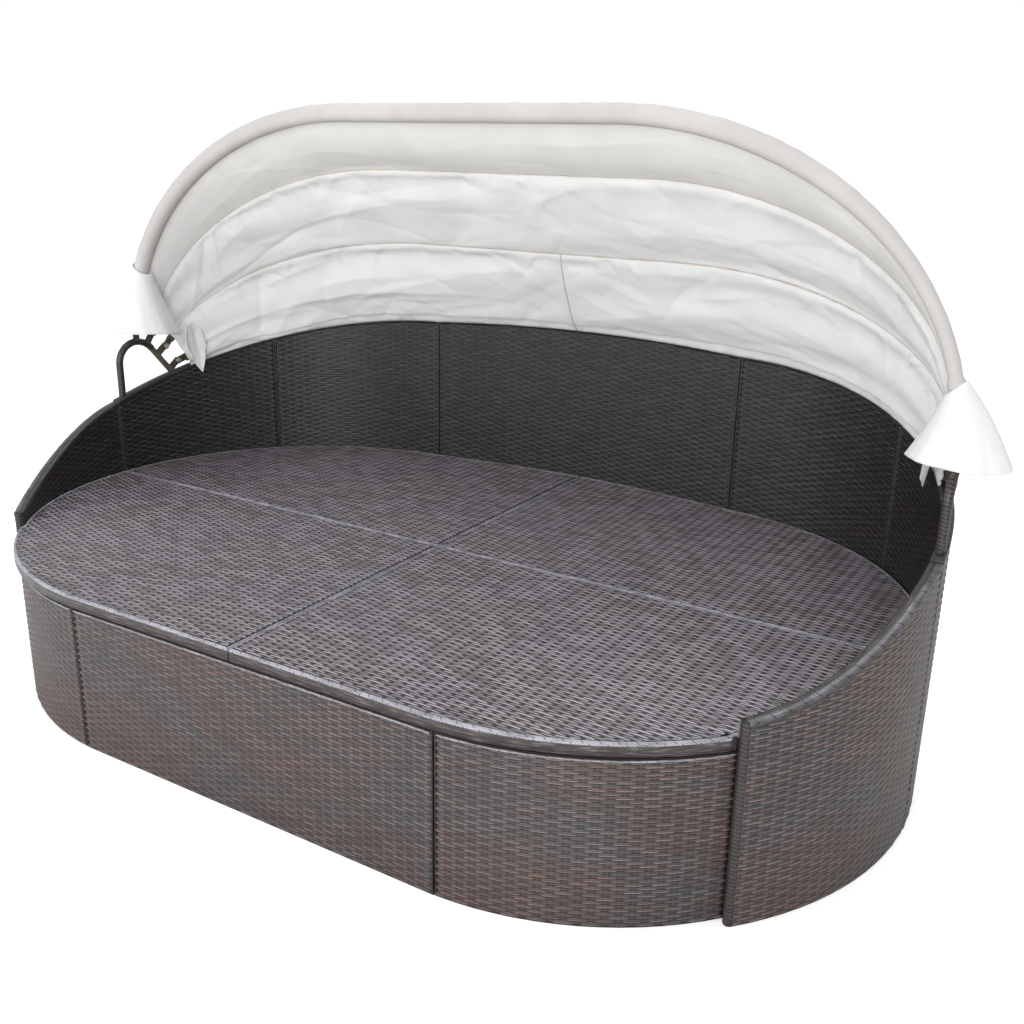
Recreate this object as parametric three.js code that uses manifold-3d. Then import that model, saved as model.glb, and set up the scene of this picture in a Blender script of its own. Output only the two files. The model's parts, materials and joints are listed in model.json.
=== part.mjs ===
// Outdoor daybed with a folding canopy.
// Millimetres, +Z up, +X to the right, the seat faces -Y. The origin is on the floor, in the middle of the footprint.
// Inside the groups, Y is measured from the line that the two round ends of the seat are drawn about.
import * as THREE from "three";
import { mergeVertices } from "three/addons/utils/BufferGeometryUtils.js";
import Module from "manifold-3d";

const wasm = await Module();
wasm.setup();

// Plan of the seat
const endCentreX = 373; // half the straight middle of the seat
const wallInnerRadius = 573; // inside of the back wall, about the end centres
const centreBulge = 38; // how far the middle back panel bows out
const panelThickness = 16;
const frontReach = 586; // front edge of the deck
const frontPanelHalf = 400; // half the flat front panel
const backPanelHalf = 403; // half the middle back panel
const wingFrontY = -400; // where a wing starts
const cornerSeamAngle = 42.5; // degrees, seam between a side back panel and a back corner panel
const seamGap = 3;
const wingTuck = 16; // how far a front corner panel runs on inside a wing
const wingClearance = 2; // between a wing and the deck board inside it

// Heights
const deckTop = 311;
const boardThickness = 20;
const skirtHeight = 283;
const wingFrontHeight = 335;
const wingBackHeight = 482;
const wallFrontHeight = 485;
const wallSlope = 0.307; // rise of the back wall's top towards the back
const wingStartEase = 0.4; // slope of the wing's top at its front, as a share of its mean slope
const wingEndEase = 0.6;

// Deck boards
const boardGap = 4; // between two boards
const boardWallClearance = 4;
const boardSkin = 3;
const seatGap = 0.3; // between two pieces that rest on each other
const boardRail = 20;
const boardSlat = 18;
const boardSlatPitch = 150;
const frameDepth = 15;
const boardOverhang = 9; // past the front panels

// Ledges, beams, legs and plates under the deck
const ledgeWidth = 24;
const ledgeHeight = 20;
const beamWidth = 30;
const beamHeight = 30;
const legWidth = 28;
const legOffset = 600;
const footHeight = 12;
const footWidth = 36;
const plateWidth = 70;
const plateHeight = 50;
const plateThickness = 3;
const plateRise = 120;

// Canopy bracket on the wall
const postY = 22;
const archRadius = 50;
const archCentreZ = 570;
const legAngle = 53; // degrees below level
const bracketRadius = 7.5;
const lugReach = 31; // from the tube's centre line to the bolt
const lugWidth = 17;
const lugThickness = 4;
const firstLugAngle = 88; // degrees round the arch
const secondLugAngle = 54.5;
const thirdLugRun = 23; // down the straight leg
const fourthLugRun = 72.5;

// Bows
const bowRadius = 10;
const footThickness = 4;
const plateGap = 0.5;
const tubeStart = 20; // where a bow's tube starts above its bolt
const footOverlap = 26; // how far the flat foot runs along the tube
const boltRadius = 3;
const boltHole = 3.4;
const boltHeadRadius = 7;
const boltHeadHeight = 4;
const frontBow = { halfStraight: 305, height: 495, angle: 87.5 };
const secondBow = { halfStraight: 300, height: 419, angle: 72 };
const thirdBow = { halfStraight: 312, height: 371, angle: 46 };

// Cloth
const clothThickness = 2;
const sleeveRadius = 18;
const sleeveStart = 138;
const pocketRadius = 15;
const pocketStart = 45;
const panelStart = 60;
const frontPanelStart = 150;
const frontPanelRearStart = 100;
const clothGap = 5;
const panelSag = 34;
const foldDepth = 5;
const foldCountAcross = 2.5;
const rearHemDrop = 6;
const flapOverlap = 8; // over the end of the sleeve
const flapHeight = 168;
const flapTopRadius = 21.5;
const flapReachX = 83; // half the hem, across
const flapReachY = 76; // half the hem, front to back
const flapSetback = 39; // from the bolt back to the middle of the hem
const flapOpening = 84; // degrees left open at the back of a flap
const flapFoldShare = 0.09;
const flapFolds = 5;

// Counts
const arcSteps = 7;
const tubeSides = 4;
const bowSteps = 34;
const bracketSteps = 22;
const clothSteps = 32;
const clothRows = 9;
const overrun = 50; // how far a cutter runs past what it cuts
const boltSides = 8;
const flapColumns = 22;
const flapRows = 6;
const normalStepShare = 0.001; // of a sheet's length, for the slope at a point
const handleShare = 1 / 3; // of the wing's length, where its top curve's handles stand

const degree = Math.PI / 180;
const panelMiddle = wallInnerRadius + panelThickness / 2;
const wallOuterRadius = wallInnerRadius + panelThickness;
const seamAngle = cornerSeamAngle * degree;
const backSeamAngle = Math.acos((backPanelHalf - endCentreX) / wallInnerRadius);
const backSeamY = wallInnerRadius * Math.sin(backSeamAngle);
const bulgeRadius = (backPanelHalf ** 2 + centreBulge ** 2) / (2 * centreBulge);
const bulgeCentreY = backSeamY + centreBulge - bulgeRadius;
const backReach = backSeamY + centreBulge + panelThickness;
const deckUnder = deckTop - boardThickness;
const boardSideRadius = wallInnerRadius - boardWallClearance;
const noseRadius = panelThickness / 2;
const wingFrontAngle = Math.asin((wingFrontY + noseRadius) / panelMiddle);
const wallTopAt = (y) => wallFrontHeight + wallSlope * y;
const highest = wallTopAt(backReach) + overrun;

const colours = { weave: 0x2f2624, tube: 0x3b3530, cloth: 0xece8e0, steel: 0xb9b4a8, foot: 0x1c1c1c };
const looks = {
  weave: () => new THREE.MeshStandardMaterial({ color: colours.weave, roughness: 0.5 }),
  tube: () => new THREE.MeshStandardMaterial({ color: colours.tube, roughness: 0.45, metalness: 0.4 }),
  cloth: () => new THREE.MeshStandardMaterial({ color: colours.cloth, roughness: 0.9, side: THREE.DoubleSide }),
  steel: () => new THREE.MeshStandardMaterial({ color: colours.steel, roughness: 0.3, metalness: 1 }),
  foot: () => new THREE.MeshStandardMaterial({ color: colours.foot, roughness: 0.7 }),
};

const daybed = new THREE.Group();
const place = (parent, name, geometry, look) => {
  const mesh = new THREE.Mesh(geometry, looks[look]());
  mesh.name = name;
  parent.add(mesh);
  return mesh;
};

// Solids for cutting and joining
const toSolid = (geometry) => {
  const bare = geometry.clone();
  bare.deleteAttribute("normal");
  bare.deleteAttribute("uv");
  const merged = mergeVertices(bare);
  const mesh = new wasm.Mesh({
    numProp: 3,
    vertProperties: Float32Array.from(merged.attributes.position.array),
    triVerts: Uint32Array.from(merged.index.array),
  });
  mesh.merge();
  return new wasm.Manifold(mesh);
};
const toGeometry = (solid) => {
  const { vertProperties, triVerts } = solid.getMesh();
  const geometry = new THREE.BufferGeometry();
  geometry.setAttribute("position", new THREE.BufferAttribute(vertProperties, 3));
  geometry.setIndex(new THREE.BufferAttribute(triVerts, 1));
  return geometry;
};
const prism = (shape, from, to) =>
  new THREE.ExtrudeGeometry(shape, { depth: to - from, bevelEnabled: false, curveSegments: arcSteps })
    .translate(0, 0, from);
const sideProfile = (shape, halfWidth) =>
  // A shape drawn in (Y, Z), swept along X
  new THREE.ExtrudeGeometry(shape, { depth: 2 * halfWidth, bevelEnabled: false, curveSegments: arcSteps })
    .applyMatrix4(new THREE.Matrix4().makeBasis(
      new THREE.Vector3(0, 1, 0), new THREE.Vector3(0, 0, 1), new THREE.Vector3(1, 0, 0),
    ))
    .translate(-halfWidth, 0, 0);
const box = (x0, x1, y0, y1, z0, z1) =>
  new THREE.BoxGeometry(x1 - x0, y1 - y0, z1 - z0)
    .translate((x0 + x1) / 2, (y0 + y1) / 2, (z0 + z1) / 2);
const mirrored = (geometry) => {
  // The left-hand copy of a right-hand piece, with its faces turned to point outwards again
  const copy = geometry.clone().scale(-1, 1, 1);
  const { index } = copy;
  for (let i = 0; i < index.count; i += 3) {
    const second = index.getX(i + 1);
    index.setX(i + 1, index.getX(i + 2));
    index.setX(i + 2, second);
  }
  return copy;
};
const pair = (name, geometry, look) => {
  place(daybed, `right_${name}`, geometry, look);
  place(daybed, `left_${name}`, mirrored(geometry), look);
};

// Everything above the wall's and the wings' top line
const aboveTop = (lift) => {
  const shape = new THREE.Shape();
  shape.moveTo(-frontReach, highest);
  shape.lineTo(-frontReach, wingFrontHeight + lift);
  shape.lineTo(wingFrontY, wingFrontHeight + lift);
  const run = -wingFrontY * handleShare;
  const rise = (wingBackHeight - wingFrontHeight) * handleShare;
  shape.bezierCurveTo(
    wingFrontY + run, wingFrontHeight + lift + rise * wingStartEase,
    -run, wingBackHeight + lift - rise * wingEndEase,
    0, wingBackHeight + lift,
  );
  shape.lineTo(0, wallFrontHeight + lift);
  shape.lineTo(backReach + overrun, wallTopAt(backReach + overrun) + lift);
  shape.lineTo(backReach + overrun, highest + overrun);
  shape.lineTo(-frontReach, highest + overrun);
  return toSolid(sideProfile(shape, endCentreX + wallOuterRadius + overrun));
};
const topCutter = aboveTop(0);

// A curved panel: part of a ring about an end centre
const ringSector = (outer, inner, from, to) => {
  const shape = new THREE.Shape();
  shape.absarc(endCentreX, 0, outer, from, to, false);
  shape.absarc(endCentreX, 0, inner, to, from, true);
  return shape;
};
const withLedge = (wall, ledgeShape) =>
  wall.add(toSolid(prism(ledgeShape, deckUnder - seatGap - ledgeHeight, deckUnder - seatGap)));

// Front corner panels follow the deck's front corners and end inside the wings
const skirtReach = frontReach - boardOverhang;
const skirtSideRadius = boardSideRadius - boardOverhang;
const skirtEnd = Math.asin((wingFrontY + wingTuck) / skirtReach); // on the panel's ellipse
const skirtEndAngle = Math.atan2(skirtReach * Math.sin(skirtEnd), skirtSideRadius * Math.cos(skirtEnd));

// Wings, with a round nose and a rising top edge. Their ledge starts behind the corner panel's end.
const halfSeam = seamGap / 2 / wallInnerRadius;
const wingShape = ringSector(wallOuterRadius, wallInnerRadius, wingFrontAngle, -halfSeam);
wingShape.absarc(
  endCentreX + panelMiddle * Math.cos(wingFrontAngle), panelMiddle * Math.sin(wingFrontAngle),
  noseRadius, wingFrontAngle + Math.PI, wingFrontAngle + 2 * Math.PI, false,
);
const wing = withLedge(
  toSolid(prism(wingShape, 0, highest)),
  ringSector(
    panelMiddle, wallInnerRadius - ledgeWidth, skirtEndAngle + seamGap / wallInnerRadius, -halfSeam,
  ),
);
pair("wing", toGeometry(wing.subtract(topCutter)), "weave");

// Back wall panels
const wallPanel = (from, to) => {
  const wall = toSolid(prism(ringSector(wallOuterRadius, wallInnerRadius, from, to), 0, highest));
  const ledge = ringSector(panelMiddle, wallInnerRadius - ledgeWidth, from, to);
  return toGeometry(withLedge(wall, ledge).subtract(topCutter));
};
pair("side_back_panel", wallPanel(halfSeam, seamAngle - halfSeam), "weave");
pair("corner_back_panel", wallPanel(seamAngle + halfSeam, backSeamAngle - halfSeam), "weave");

const bulgeSector = (outer, inner, half) => {
  const shape = new THREE.Shape();
  const outerAngle = Math.acos(half / outer);
  const innerAngle = Math.acos(half / inner);
  shape.absarc(0, bulgeCentreY, outer, outerAngle, Math.PI - outerAngle, false);
  shape.absarc(0, bulgeCentreY, inner, Math.PI - innerAngle, innerAngle, true);
  return shape;
};
const centreHalf = backPanelHalf - seamGap / 2;
const centreWall = withLedge(
  toSolid(prism(bulgeSector(bulgeRadius + panelThickness, bulgeRadius, centreHalf), 0, highest)),
  bulgeSector(bulgeRadius + panelThickness / 2, bulgeRadius - ledgeWidth, centreHalf),
);
place(daybed, "centre_back_panel", toGeometry(centreWall.subtract(topCutter)), "weave");

// Front panels: a flat one between two curved ones
const skirtFront = -skirtReach;
const skirtBack = skirtFront + panelThickness;
const frontHalf = frontPanelHalf - seamGap / 2;
const rectangle = (x0, x1, y0, y1) => {
  const shape = new THREE.Shape();
  shape.moveTo(x0, y0);
  shape.lineTo(x1, y0);
  shape.lineTo(x1, y1);
  shape.lineTo(x0, y1);
  return shape;
};
const frontPanel = withLedge(
  toSolid(prism(rectangle(-frontHalf, frontHalf, skirtFront, skirtBack), 0, skirtHeight)),
  rectangle(-frontHalf, frontHalf, skirtBack - panelThickness / 2, skirtBack + ledgeWidth),
);
place(daybed, "front_centre_panel", toGeometry(frontPanel), "weave");

const ellipseSector = (inset, depth, from, to) => {
  // A band that follows the board's front corner, inset from it and depth wide
  const shape = new THREE.Shape();
  shape.absellipse(endCentreX, 0, skirtSideRadius - inset, skirtReach - inset, from, to, false);
  shape.absellipse(
    endCentreX, 0, skirtSideRadius - inset - depth, skirtReach - inset - depth, to, from, true,
  );
  return shape;
};
const skirtStart = -Math.acos((frontPanelHalf + seamGap / 2 - endCentreX) / skirtSideRadius);
const cornerSkirt = withLedge(
  toSolid(prism(ellipseSector(0, panelThickness, skirtStart, skirtEnd), 0, skirtHeight)),
  ellipseSector(panelThickness / 2, panelThickness / 2 + ledgeWidth, skirtStart, skirtEnd),
);
pair("front_corner_panel", toGeometry(cornerSkirt), "weave");

// Deck boards: a woven tray over a welded frame, one for each quarter
const frontOutline = (inset) => {
  const shape = new THREE.Shape();
  const near = boardGap / 2 + inset;
  const reach = frontReach - inset;
  const radius = boardSideRadius - inset;
  shape.moveTo(near, -near);
  shape.lineTo(near, -reach);
  shape.lineTo(endCentreX, -reach);
  shape.absellipse(endCentreX, 0, radius, reach, -Math.PI / 2, -Math.asin(near / reach), false);
  return shape;
};
const backOutline = (inset) => {
  const shape = new THREE.Shape();
  const near = boardGap / 2 + inset;
  const radius = wallInnerRadius - boardWallClearance - inset;
  const bulge = bulgeRadius - boardWallClearance - inset;
  shape.moveTo(near, near);
  shape.lineTo(endCentreX + Math.sqrt(radius ** 2 - near ** 2), near);
  shape.absarc(endCentreX, 0, radius, Math.asin(near / radius), backSeamAngle, false);
  shape.absarc(
    0, bulgeCentreY, bulge, Math.acos(backPanelHalf / bulge), Math.acos(near / bulge), false,
  );
  return shape;
};
const slats = (fromY, toY) => {
  const bars = [];
  for (let x = boardSlatPitch; x < endCentreX + boardSideRadius; x += boardSlatPitch) {
    bars.push(toSolid(box(
      x - boardSlat / 2, x + boardSlat / 2, fromY, toY, deckUnder - overrun, deckTop + overrun,
    )));
  }
  return bars;
};
const boardSolid = (outline, inset, from, to) => {
  // A board's plan, cut back to stay inside the wing
  const room = ringSector(
    wallOuterRadius + overrun, wallInnerRadius - wingClearance - inset,
    wingFrontAngle - (noseRadius + wingClearance + inset) / panelMiddle, 0,
  );
  return toSolid(prism(outline(inset), from, to))
    .subtract(toSolid(prism(room, from - overrun, to + overrun)));
};
const board = (outline) => toGeometry(
  boardSolid(outline, 0, deckUnder, deckTop)
    .subtract(boardSolid(outline, boardSkin, deckUnder - overrun, deckTop - boardSkin)),
);
const boardFrame = (outline, fromY, toY) => {
  const inset = boardSkin + seatGap;
  const top = deckTop - boardSkin - seatGap;
  let windows = boardSolid(outline, inset + boardRail, top - frameDepth - overrun, top + overrun);
  for (const bar of slats(fromY, toY)) windows = windows.subtract(bar);
  return toGeometry(boardSolid(outline, inset, top - frameDepth, top).subtract(windows));
};
pair("front_board", board(frontOutline), "weave");
pair("front_board_frame", boardFrame(frontOutline, -frontReach, 0), "tube");
pair("back_board", board(backOutline), "weave");
pair("back_board_frame", boardFrame(backOutline, 0, backReach), "tube");

// Beams under the seams, legs and their feet
const beamTop = deckUnder - seatGap;
const beamBottom = beamTop - beamHeight;
const centreBeamHalf = endCentreX + wallInnerRadius - ledgeWidth - seamGap;
place(daybed, "centre_beam", box(
  -centreBeamHalf, centreBeamHalf, -beamWidth / 2, beamWidth / 2, beamBottom, beamTop,
), "tube");
place(daybed, "front_joist", box(
  -beamWidth / 2, beamWidth / 2, skirtBack + ledgeWidth + seatGap, -beamWidth / 2 - seatGap,
  beamBottom, beamTop,
), "tube");
place(daybed, "back_joist", box(
  -beamWidth / 2, beamWidth / 2, beamWidth / 2 + seatGap,
  backSeamY + centreBulge - ledgeWidth - seamGap / 2, beamBottom, beamTop,
), "tube");
for (const [name, x] of [["left", -legOffset], ["middle", 0], ["right", legOffset]]) {
  place(daybed, `${name}_leg`, box(
    x - legWidth / 2, x + legWidth / 2, -legWidth / 2, legWidth / 2,
    footHeight + seatGap, beamBottom - seatGap,
  ), "tube");
  place(daybed, `${name}_foot`, box(
    x - footWidth / 2, x + footWidth / 2, -footWidth / 2, footWidth / 2, 0, footHeight,
  ), "foot");
}

// Flat plates across the seams, on the inside below the deck
const seamPlate = (x, y, facing, radius) => {
  // The plate is a chord of the curved face, so its two ends touch it
  const drop = radius - Math.sqrt(radius ** 2 - (plateWidth / 2) ** 2);
  const plate = box(
    -plateWidth / 2, plateWidth / 2, 0, plateThickness, plateRise, plateRise + plateHeight,
  );
  return plate.translate(0, drop + seatGap, 0).rotateZ(facing).translate(x, y, 0);
};
const onRing = (radius, angle) => [
  endCentreX + radius * Math.cos(angle), radius * Math.sin(angle), angle + Math.PI / 2,
];
pair("wing_seam_plate", seamPlate(...onRing(wallInnerRadius, 0), wallInnerRadius), "tube");
pair("corner_seam_plate", seamPlate(...onRing(wallInnerRadius, seamAngle), wallInnerRadius), "tube");
pair("back_seam_plate", seamPlate(...onRing(wallInnerRadius, backSeamAngle), wallInnerRadius), "tube");
const bentPlate = toSolid(prism(
  ellipseSector(
    panelThickness + seatGap, plateThickness,
    -Math.acos((frontPanelHalf - endCentreX) / skirtSideRadius),
    -Math.acos((frontPanelHalf + plateWidth / 2 - endCentreX) / skirtSideRadius),
  ), plateRise, plateRise + plateHeight,
)).add(toSolid(box(
  frontPanelHalf - plateWidth / 2, frontPanelHalf + plateThickness,
  skirtBack + plateThickness / 2, skirtBack + seatGap + plateThickness,
  plateRise, plateRise + plateHeight,
)));
pair("front_seam_plate", toGeometry(bentPlate), "tube");

// Canopy brackets. They stand on the middle of the wall's thickness and follow its curve.
const wallX = (y) => endCentreX + Math.sqrt(panelMiddle ** 2 - y ** 2);
const archCentreY = postY + archRadius;
const legDirection = { y: Math.cos(legAngle * degree), z: -Math.sin(legAngle * degree) };
const archEnd = Math.PI / 2 - legAngle * degree;
const legStart = {
  y: archCentreY + archRadius * Math.cos(archEnd),
  z: archCentreZ + archRadius * Math.sin(archEnd),
};
const legRun = (legStart.z - wallTopAt(legStart.y)) / (-legDirection.z + wallSlope * legDirection.y);
class BracketPath extends THREE.Curve {
  constructor() {
    super();
    this.post = archCentreZ - wallTopAt(postY) + bracketRadius;
    this.arch = archRadius * (Math.PI - archEnd);
    this.leg = legRun + bracketRadius;
  }
  getPoint(share, target = new THREE.Vector3()) {
    let run = share * (this.post + this.arch + this.leg);
    let y = postY;
    let z = archCentreZ - this.post + run;
    if (run > this.post + this.arch) {
      run -= this.post + this.arch;
      y = legStart.y + legDirection.y * run;
      z = legStart.z + legDirection.z * run;
    } else if (run > this.post) {
      const angle = Math.PI - (run - this.post) / archRadius;
      y = archCentreY + archRadius * Math.cos(angle);
      z = archCentreZ + archRadius * Math.sin(angle);
    }
    return target.set(wallX(y), y, z);
  }
}
const roundSection = (radius, hole) => {
  const shape = new THREE.Shape().absarc(0, 0, radius, 0, 2 * Math.PI, false);
  if (hole) shape.holes.push(new THREE.Path().absarc(0, 0, hole, 0, 2 * Math.PI, false));
  return shape;
};
const tube = (path, radius, steps, hole) =>
  new THREE.ExtrudeGeometry(roundSection(radius, hole), {
    extrudePath: path, steps, bevelEnabled: false, curveSegments: tubeSides,
  });

// Where each bolt sits: (Y, Z) of its axis and the point of the bracket that its lug grows from
const archLug = (angle) => ({
  rootY: archCentreY + archRadius * Math.cos(angle * degree),
  rootZ: archCentreZ + archRadius * Math.sin(angle * degree),
  y: archCentreY + (archRadius + lugReach) * Math.cos(angle * degree),
  z: archCentreZ + (archRadius + lugReach) * Math.sin(angle * degree),
});
const legLug = (run) => {
  const rootY = legStart.y + legDirection.y * run;
  const rootZ = legStart.z + legDirection.z * run;
  return { rootY, rootZ, y: rootY - legDirection.z * lugReach, z: rootZ + legDirection.y * lugReach };
};
const frontLug = archLug(firstLugAngle);
const secondLug = archLug(secondLugAngle);
const thirdLug = legLug(thirdLugRun);
const rearLug = legLug(fourthLugRun);
const lugs = { front: frontLug, second: secondLug, third: thirdLug, rear: rearLug };
for (const lug of Object.values(lugs)) lug.x = wallX(lug.rootY);

// A flat tab in a plane across X, from one point to the round end about another, with a bolt hole
const tab = (fromY, fromZ, toY, toZ, width) => {
  const along = new THREE.Vector2(toY - fromY, toZ - fromZ);
  const turn = along.angle();
  const side = new THREE.Vector2(-Math.sin(turn), Math.cos(turn)).multiplyScalar(width / 2);
  const shape = new THREE.Shape();
  shape.moveTo(fromY + side.x, fromZ + side.y);
  shape.lineTo(fromY - side.x, fromZ - side.y);
  shape.absarc(toY, toZ, width / 2, turn - Math.PI / 2, turn + Math.PI / 2, false);
  shape.holes.push(new THREE.Path().absarc(toY, toZ, boltHole, 0, 2 * Math.PI, true));
  return shape;
};
const across = (shape, middleX, thickness) => sideProfile(shape, thickness / 2).translate(middleX, 0, 0);

let bracket = toSolid(tube(new BracketPath(), bracketRadius, bracketSteps));
for (const lug of Object.values(lugs)) {
  bracket = bracket.add(toSolid(across(tab(lug.rootY, lug.rootZ, lug.y, lug.z, lugWidth), lug.x, lugThickness)));
}
const underWallTop = aboveTop(seatGap);
pair("canopy_bracket", toGeometry(bracket.intersect(underWallTop)), "tube");

// Bows. A bow lies in a plane through its two bolts: two quarter ellipses and a straight middle.
const bowPlane = (lug, bow) => ({
  y: lug.y,
  z: lug.z,
  halfWidth: lug.x - lugThickness / 2 - plateGap - footThickness / 2,
  up: { y: Math.cos(bow.angle * degree), z: Math.sin(bow.angle * degree) },
  ...bow,
});
class BowPath extends THREE.Curve {
  constructor(plane, start) {
    super();
    this.plane = plane;
    this.start = Math.asin(start / plane.height);
  }
  getPoint(share, target = new THREE.Vector3()) {
    const { y, z, halfWidth, halfStraight, height, up } = this.plane;
    const reach = halfWidth - halfStraight;
    const quarter = (Math.PI / 2 - this.start) * Math.sqrt((reach ** 2 + height ** 2) / 2);
    const total = 2 * quarter + 2 * halfStraight;
    const run = Math.abs(share - 0.5) * total; // from the middle
    const side = share < 0.5 ? 1 : -1;
    let x = run;
    let rise = height;
    if (run > halfStraight) {
      const turn = ((run - halfStraight) / quarter) * (Math.PI / 2 - this.start);
      x = halfStraight + reach * Math.sin(turn);
      rise = height * Math.cos(turn);
    }
    return target.set(side * x, y + up.y * rise, z + up.z * rise);
  }
}
const frontPlane = bowPlane(frontLug, frontBow);
const secondPlane = bowPlane(secondLug, secondBow);
const thirdPlane = bowPlane(thirdLug, thirdBow);
const feet = (solid, plane) => {
  let result = solid;
  for (const side of [1, -1]) {
    const foot = tab(
      plane.y + plane.up.y * (tubeStart + footOverlap), plane.z + plane.up.z * (tubeStart + footOverlap),
      plane.y, plane.z, lugWidth,
    );
    result = result.add(toSolid(across(foot, side * plane.halfWidth, footThickness)));
  }
  return result;
};
for (const [name, plane] of [["front", frontPlane], ["second", secondPlane], ["third", thirdPlane]]) {
  const bow = toSolid(tube(new BowPath(plane, tubeStart), bowRadius, bowSteps));
  place(daybed, `${name}_bow`, toGeometry(feet(bow, plane)), "tube");
}

// The rear bow lies on the wall's top and follows its plan
const wallTilt = Math.atan(wallSlope);
const rearTopZ = wallTopAt(backReach - panelThickness / 2) + (bowRadius + seatGap) / Math.cos(wallTilt);
const rearFootX = rearLug.x - lugThickness / 2 - plateGap - footThickness / 2;
const rearRadius = Math.hypot(rearFootX - endCentreX, rearLug.y);
const rearBackY = backSeamY + centreBulge + panelThickness / 2;
const rearSlope = (rearTopZ - rearLug.z) / (rearBackY - rearLug.y);
const rearTilt = Math.atan(rearSlope);
class RearPath extends THREE.Curve {
  constructor(start) {
    super();
    this.start = Math.asin((rearLug.y + start * Math.cos(rearTilt)) / rearRadius);
  }
  getPoint(share, target = new THREE.Vector3()) {
    const endY = rearRadius * Math.sin(backSeamAngle);
    const endX = endCentreX + rearRadius * Math.cos(backSeamAngle);
    const quarter = rearRadius * (backSeamAngle - this.start);
    const run = Math.abs(share - 0.5) * 2 * (quarter + endX); // from the middle
    const side = share < 0.5 ? 1 : -1;
    const bow = rearBackY - endY;
    let x = Math.min(run, endX);
    let y = endY + bow * (1 - (x / endX) ** 2);
    if (run > endX) {
      const angle = backSeamAngle - (run - endX) / rearRadius;
      x = endCentreX + rearRadius * Math.cos(angle);
      y = rearRadius * Math.sin(angle);
    }
    return target.set(side * x, y, rearLug.z + rearSlope * (y - rearLug.y));
  }
}
const rearPlane = {
  y: rearLug.y, z: rearLug.z, halfWidth: rearFootX, up: { y: Math.cos(rearTilt), z: Math.sin(rearTilt) },
};
const rearBow = toSolid(tube(new RearPath(tubeStart), bowRadius, bowSteps));
place(daybed, "rear_bow", toGeometry(feet(rearBow, rearPlane)), "tube");

// Pivot bolts, from the outside of the lug to a nut inside the foot
const pivotBolt = (lug) => {
  const stack = lugThickness / 2 + plateGap;
  const outside = lug.x + stack;
  const inside = lug.x - stack - footThickness - plateGap;
  const points = [
    [0, inside - boltHeadHeight], [boltHeadRadius, inside - boltHeadHeight], [boltHeadRadius, inside],
    [boltRadius, inside], [boltRadius, outside], [boltHeadRadius, outside],
    [boltHeadRadius - boltHeadHeight / 2, outside + boltHeadHeight], [0, outside + boltHeadHeight],
  ].map(([radius, along]) => new THREE.Vector2(radius, along));
  return new THREE.LatheGeometry(points, boltSides)
    .rotateZ(-Math.PI / 2)
    .translate(0, lug.y, lug.z);
};
for (const [name, lug] of Object.entries(lugs)) {
  pair(`${name}_bow_bolt`, toGeometry(toSolid(pivotBolt(lug))), "steel");
}

// Cloth sleeves round the bows
place(daybed, "front_sleeve", tube(
  new BowPath(frontPlane, sleeveStart), sleeveRadius, bowSteps, sleeveRadius - clothThickness,
), "cloth");
place(daybed, "second_pocket", tube(
  new BowPath(secondPlane, pocketStart), pocketRadius, bowSteps, pocketRadius - clothThickness,
), "cloth");
place(daybed, "third_pocket", tube(
  new BowPath(thirdPlane, pocketStart), pocketRadius, bowSteps, pocketRadius - clothThickness,
), "cloth");

// A thin closed shell over a grid of points
const shell = (pointAt, columns, rows, thickness) => {
  const positions = [];
  const index = [];
  const normalAt = (u, v) => {
    const low = (value) => Math.max(0, value - normalStepShare);
    const high = (value) => Math.min(1, value + normalStepShare);
    const alongU = pointAt(high(u), v).sub(pointAt(low(u), v));
    const alongV = pointAt(u, high(v)).sub(pointAt(u, low(v)));
    return alongU.cross(alongV).normalize();
  };
  for (const side of [0.5, -0.5]) {
    for (let i = 0; i <= columns; i += 1) {
      for (let j = 0; j <= rows; j += 1) {
        const u = i / columns;
        const v = j / rows;
        const point = pointAt(u, v).addScaledVector(normalAt(u, v), side * thickness);
        positions.push(point.x, point.y, point.z);
      }
    }
  }
  const layer = (columns + 1) * (rows + 1);
  const at = (i, j, side) => side * layer + i * (rows + 1) + j;
  const quad = (a, b, c, d) => index.push(a, b, c, a, c, d);
  for (let i = 0; i < columns; i += 1) {
    for (let j = 0; j < rows; j += 1) {
      quad(at(i, j, 0), at(i + 1, j, 0), at(i + 1, j + 1, 0), at(i, j + 1, 0));
      quad(at(i, j, 1), at(i, j + 1, 1), at(i + 1, j + 1, 1), at(i + 1, j, 1));
    }
    quad(at(i, 0, 0), at(i, 0, 1), at(i + 1, 0, 1), at(i + 1, 0, 0));
    quad(at(i + 1, rows, 0), at(i + 1, rows, 1), at(i, rows, 1), at(i, rows, 0));
  }
  for (let j = 0; j < rows; j += 1) {
    quad(at(0, j + 1, 0), at(0, j + 1, 1), at(0, j, 1), at(0, j, 0));
    quad(at(columns, j, 0), at(columns, j, 1), at(columns, j + 1, 1), at(columns, j + 1, 0));
  }
  const geometry = new THREE.BufferGeometry();
  geometry.setAttribute("position", new THREE.Float32BufferAttribute(positions, 3));
  geometry.setIndex(index);
  return geometry;
};

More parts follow.
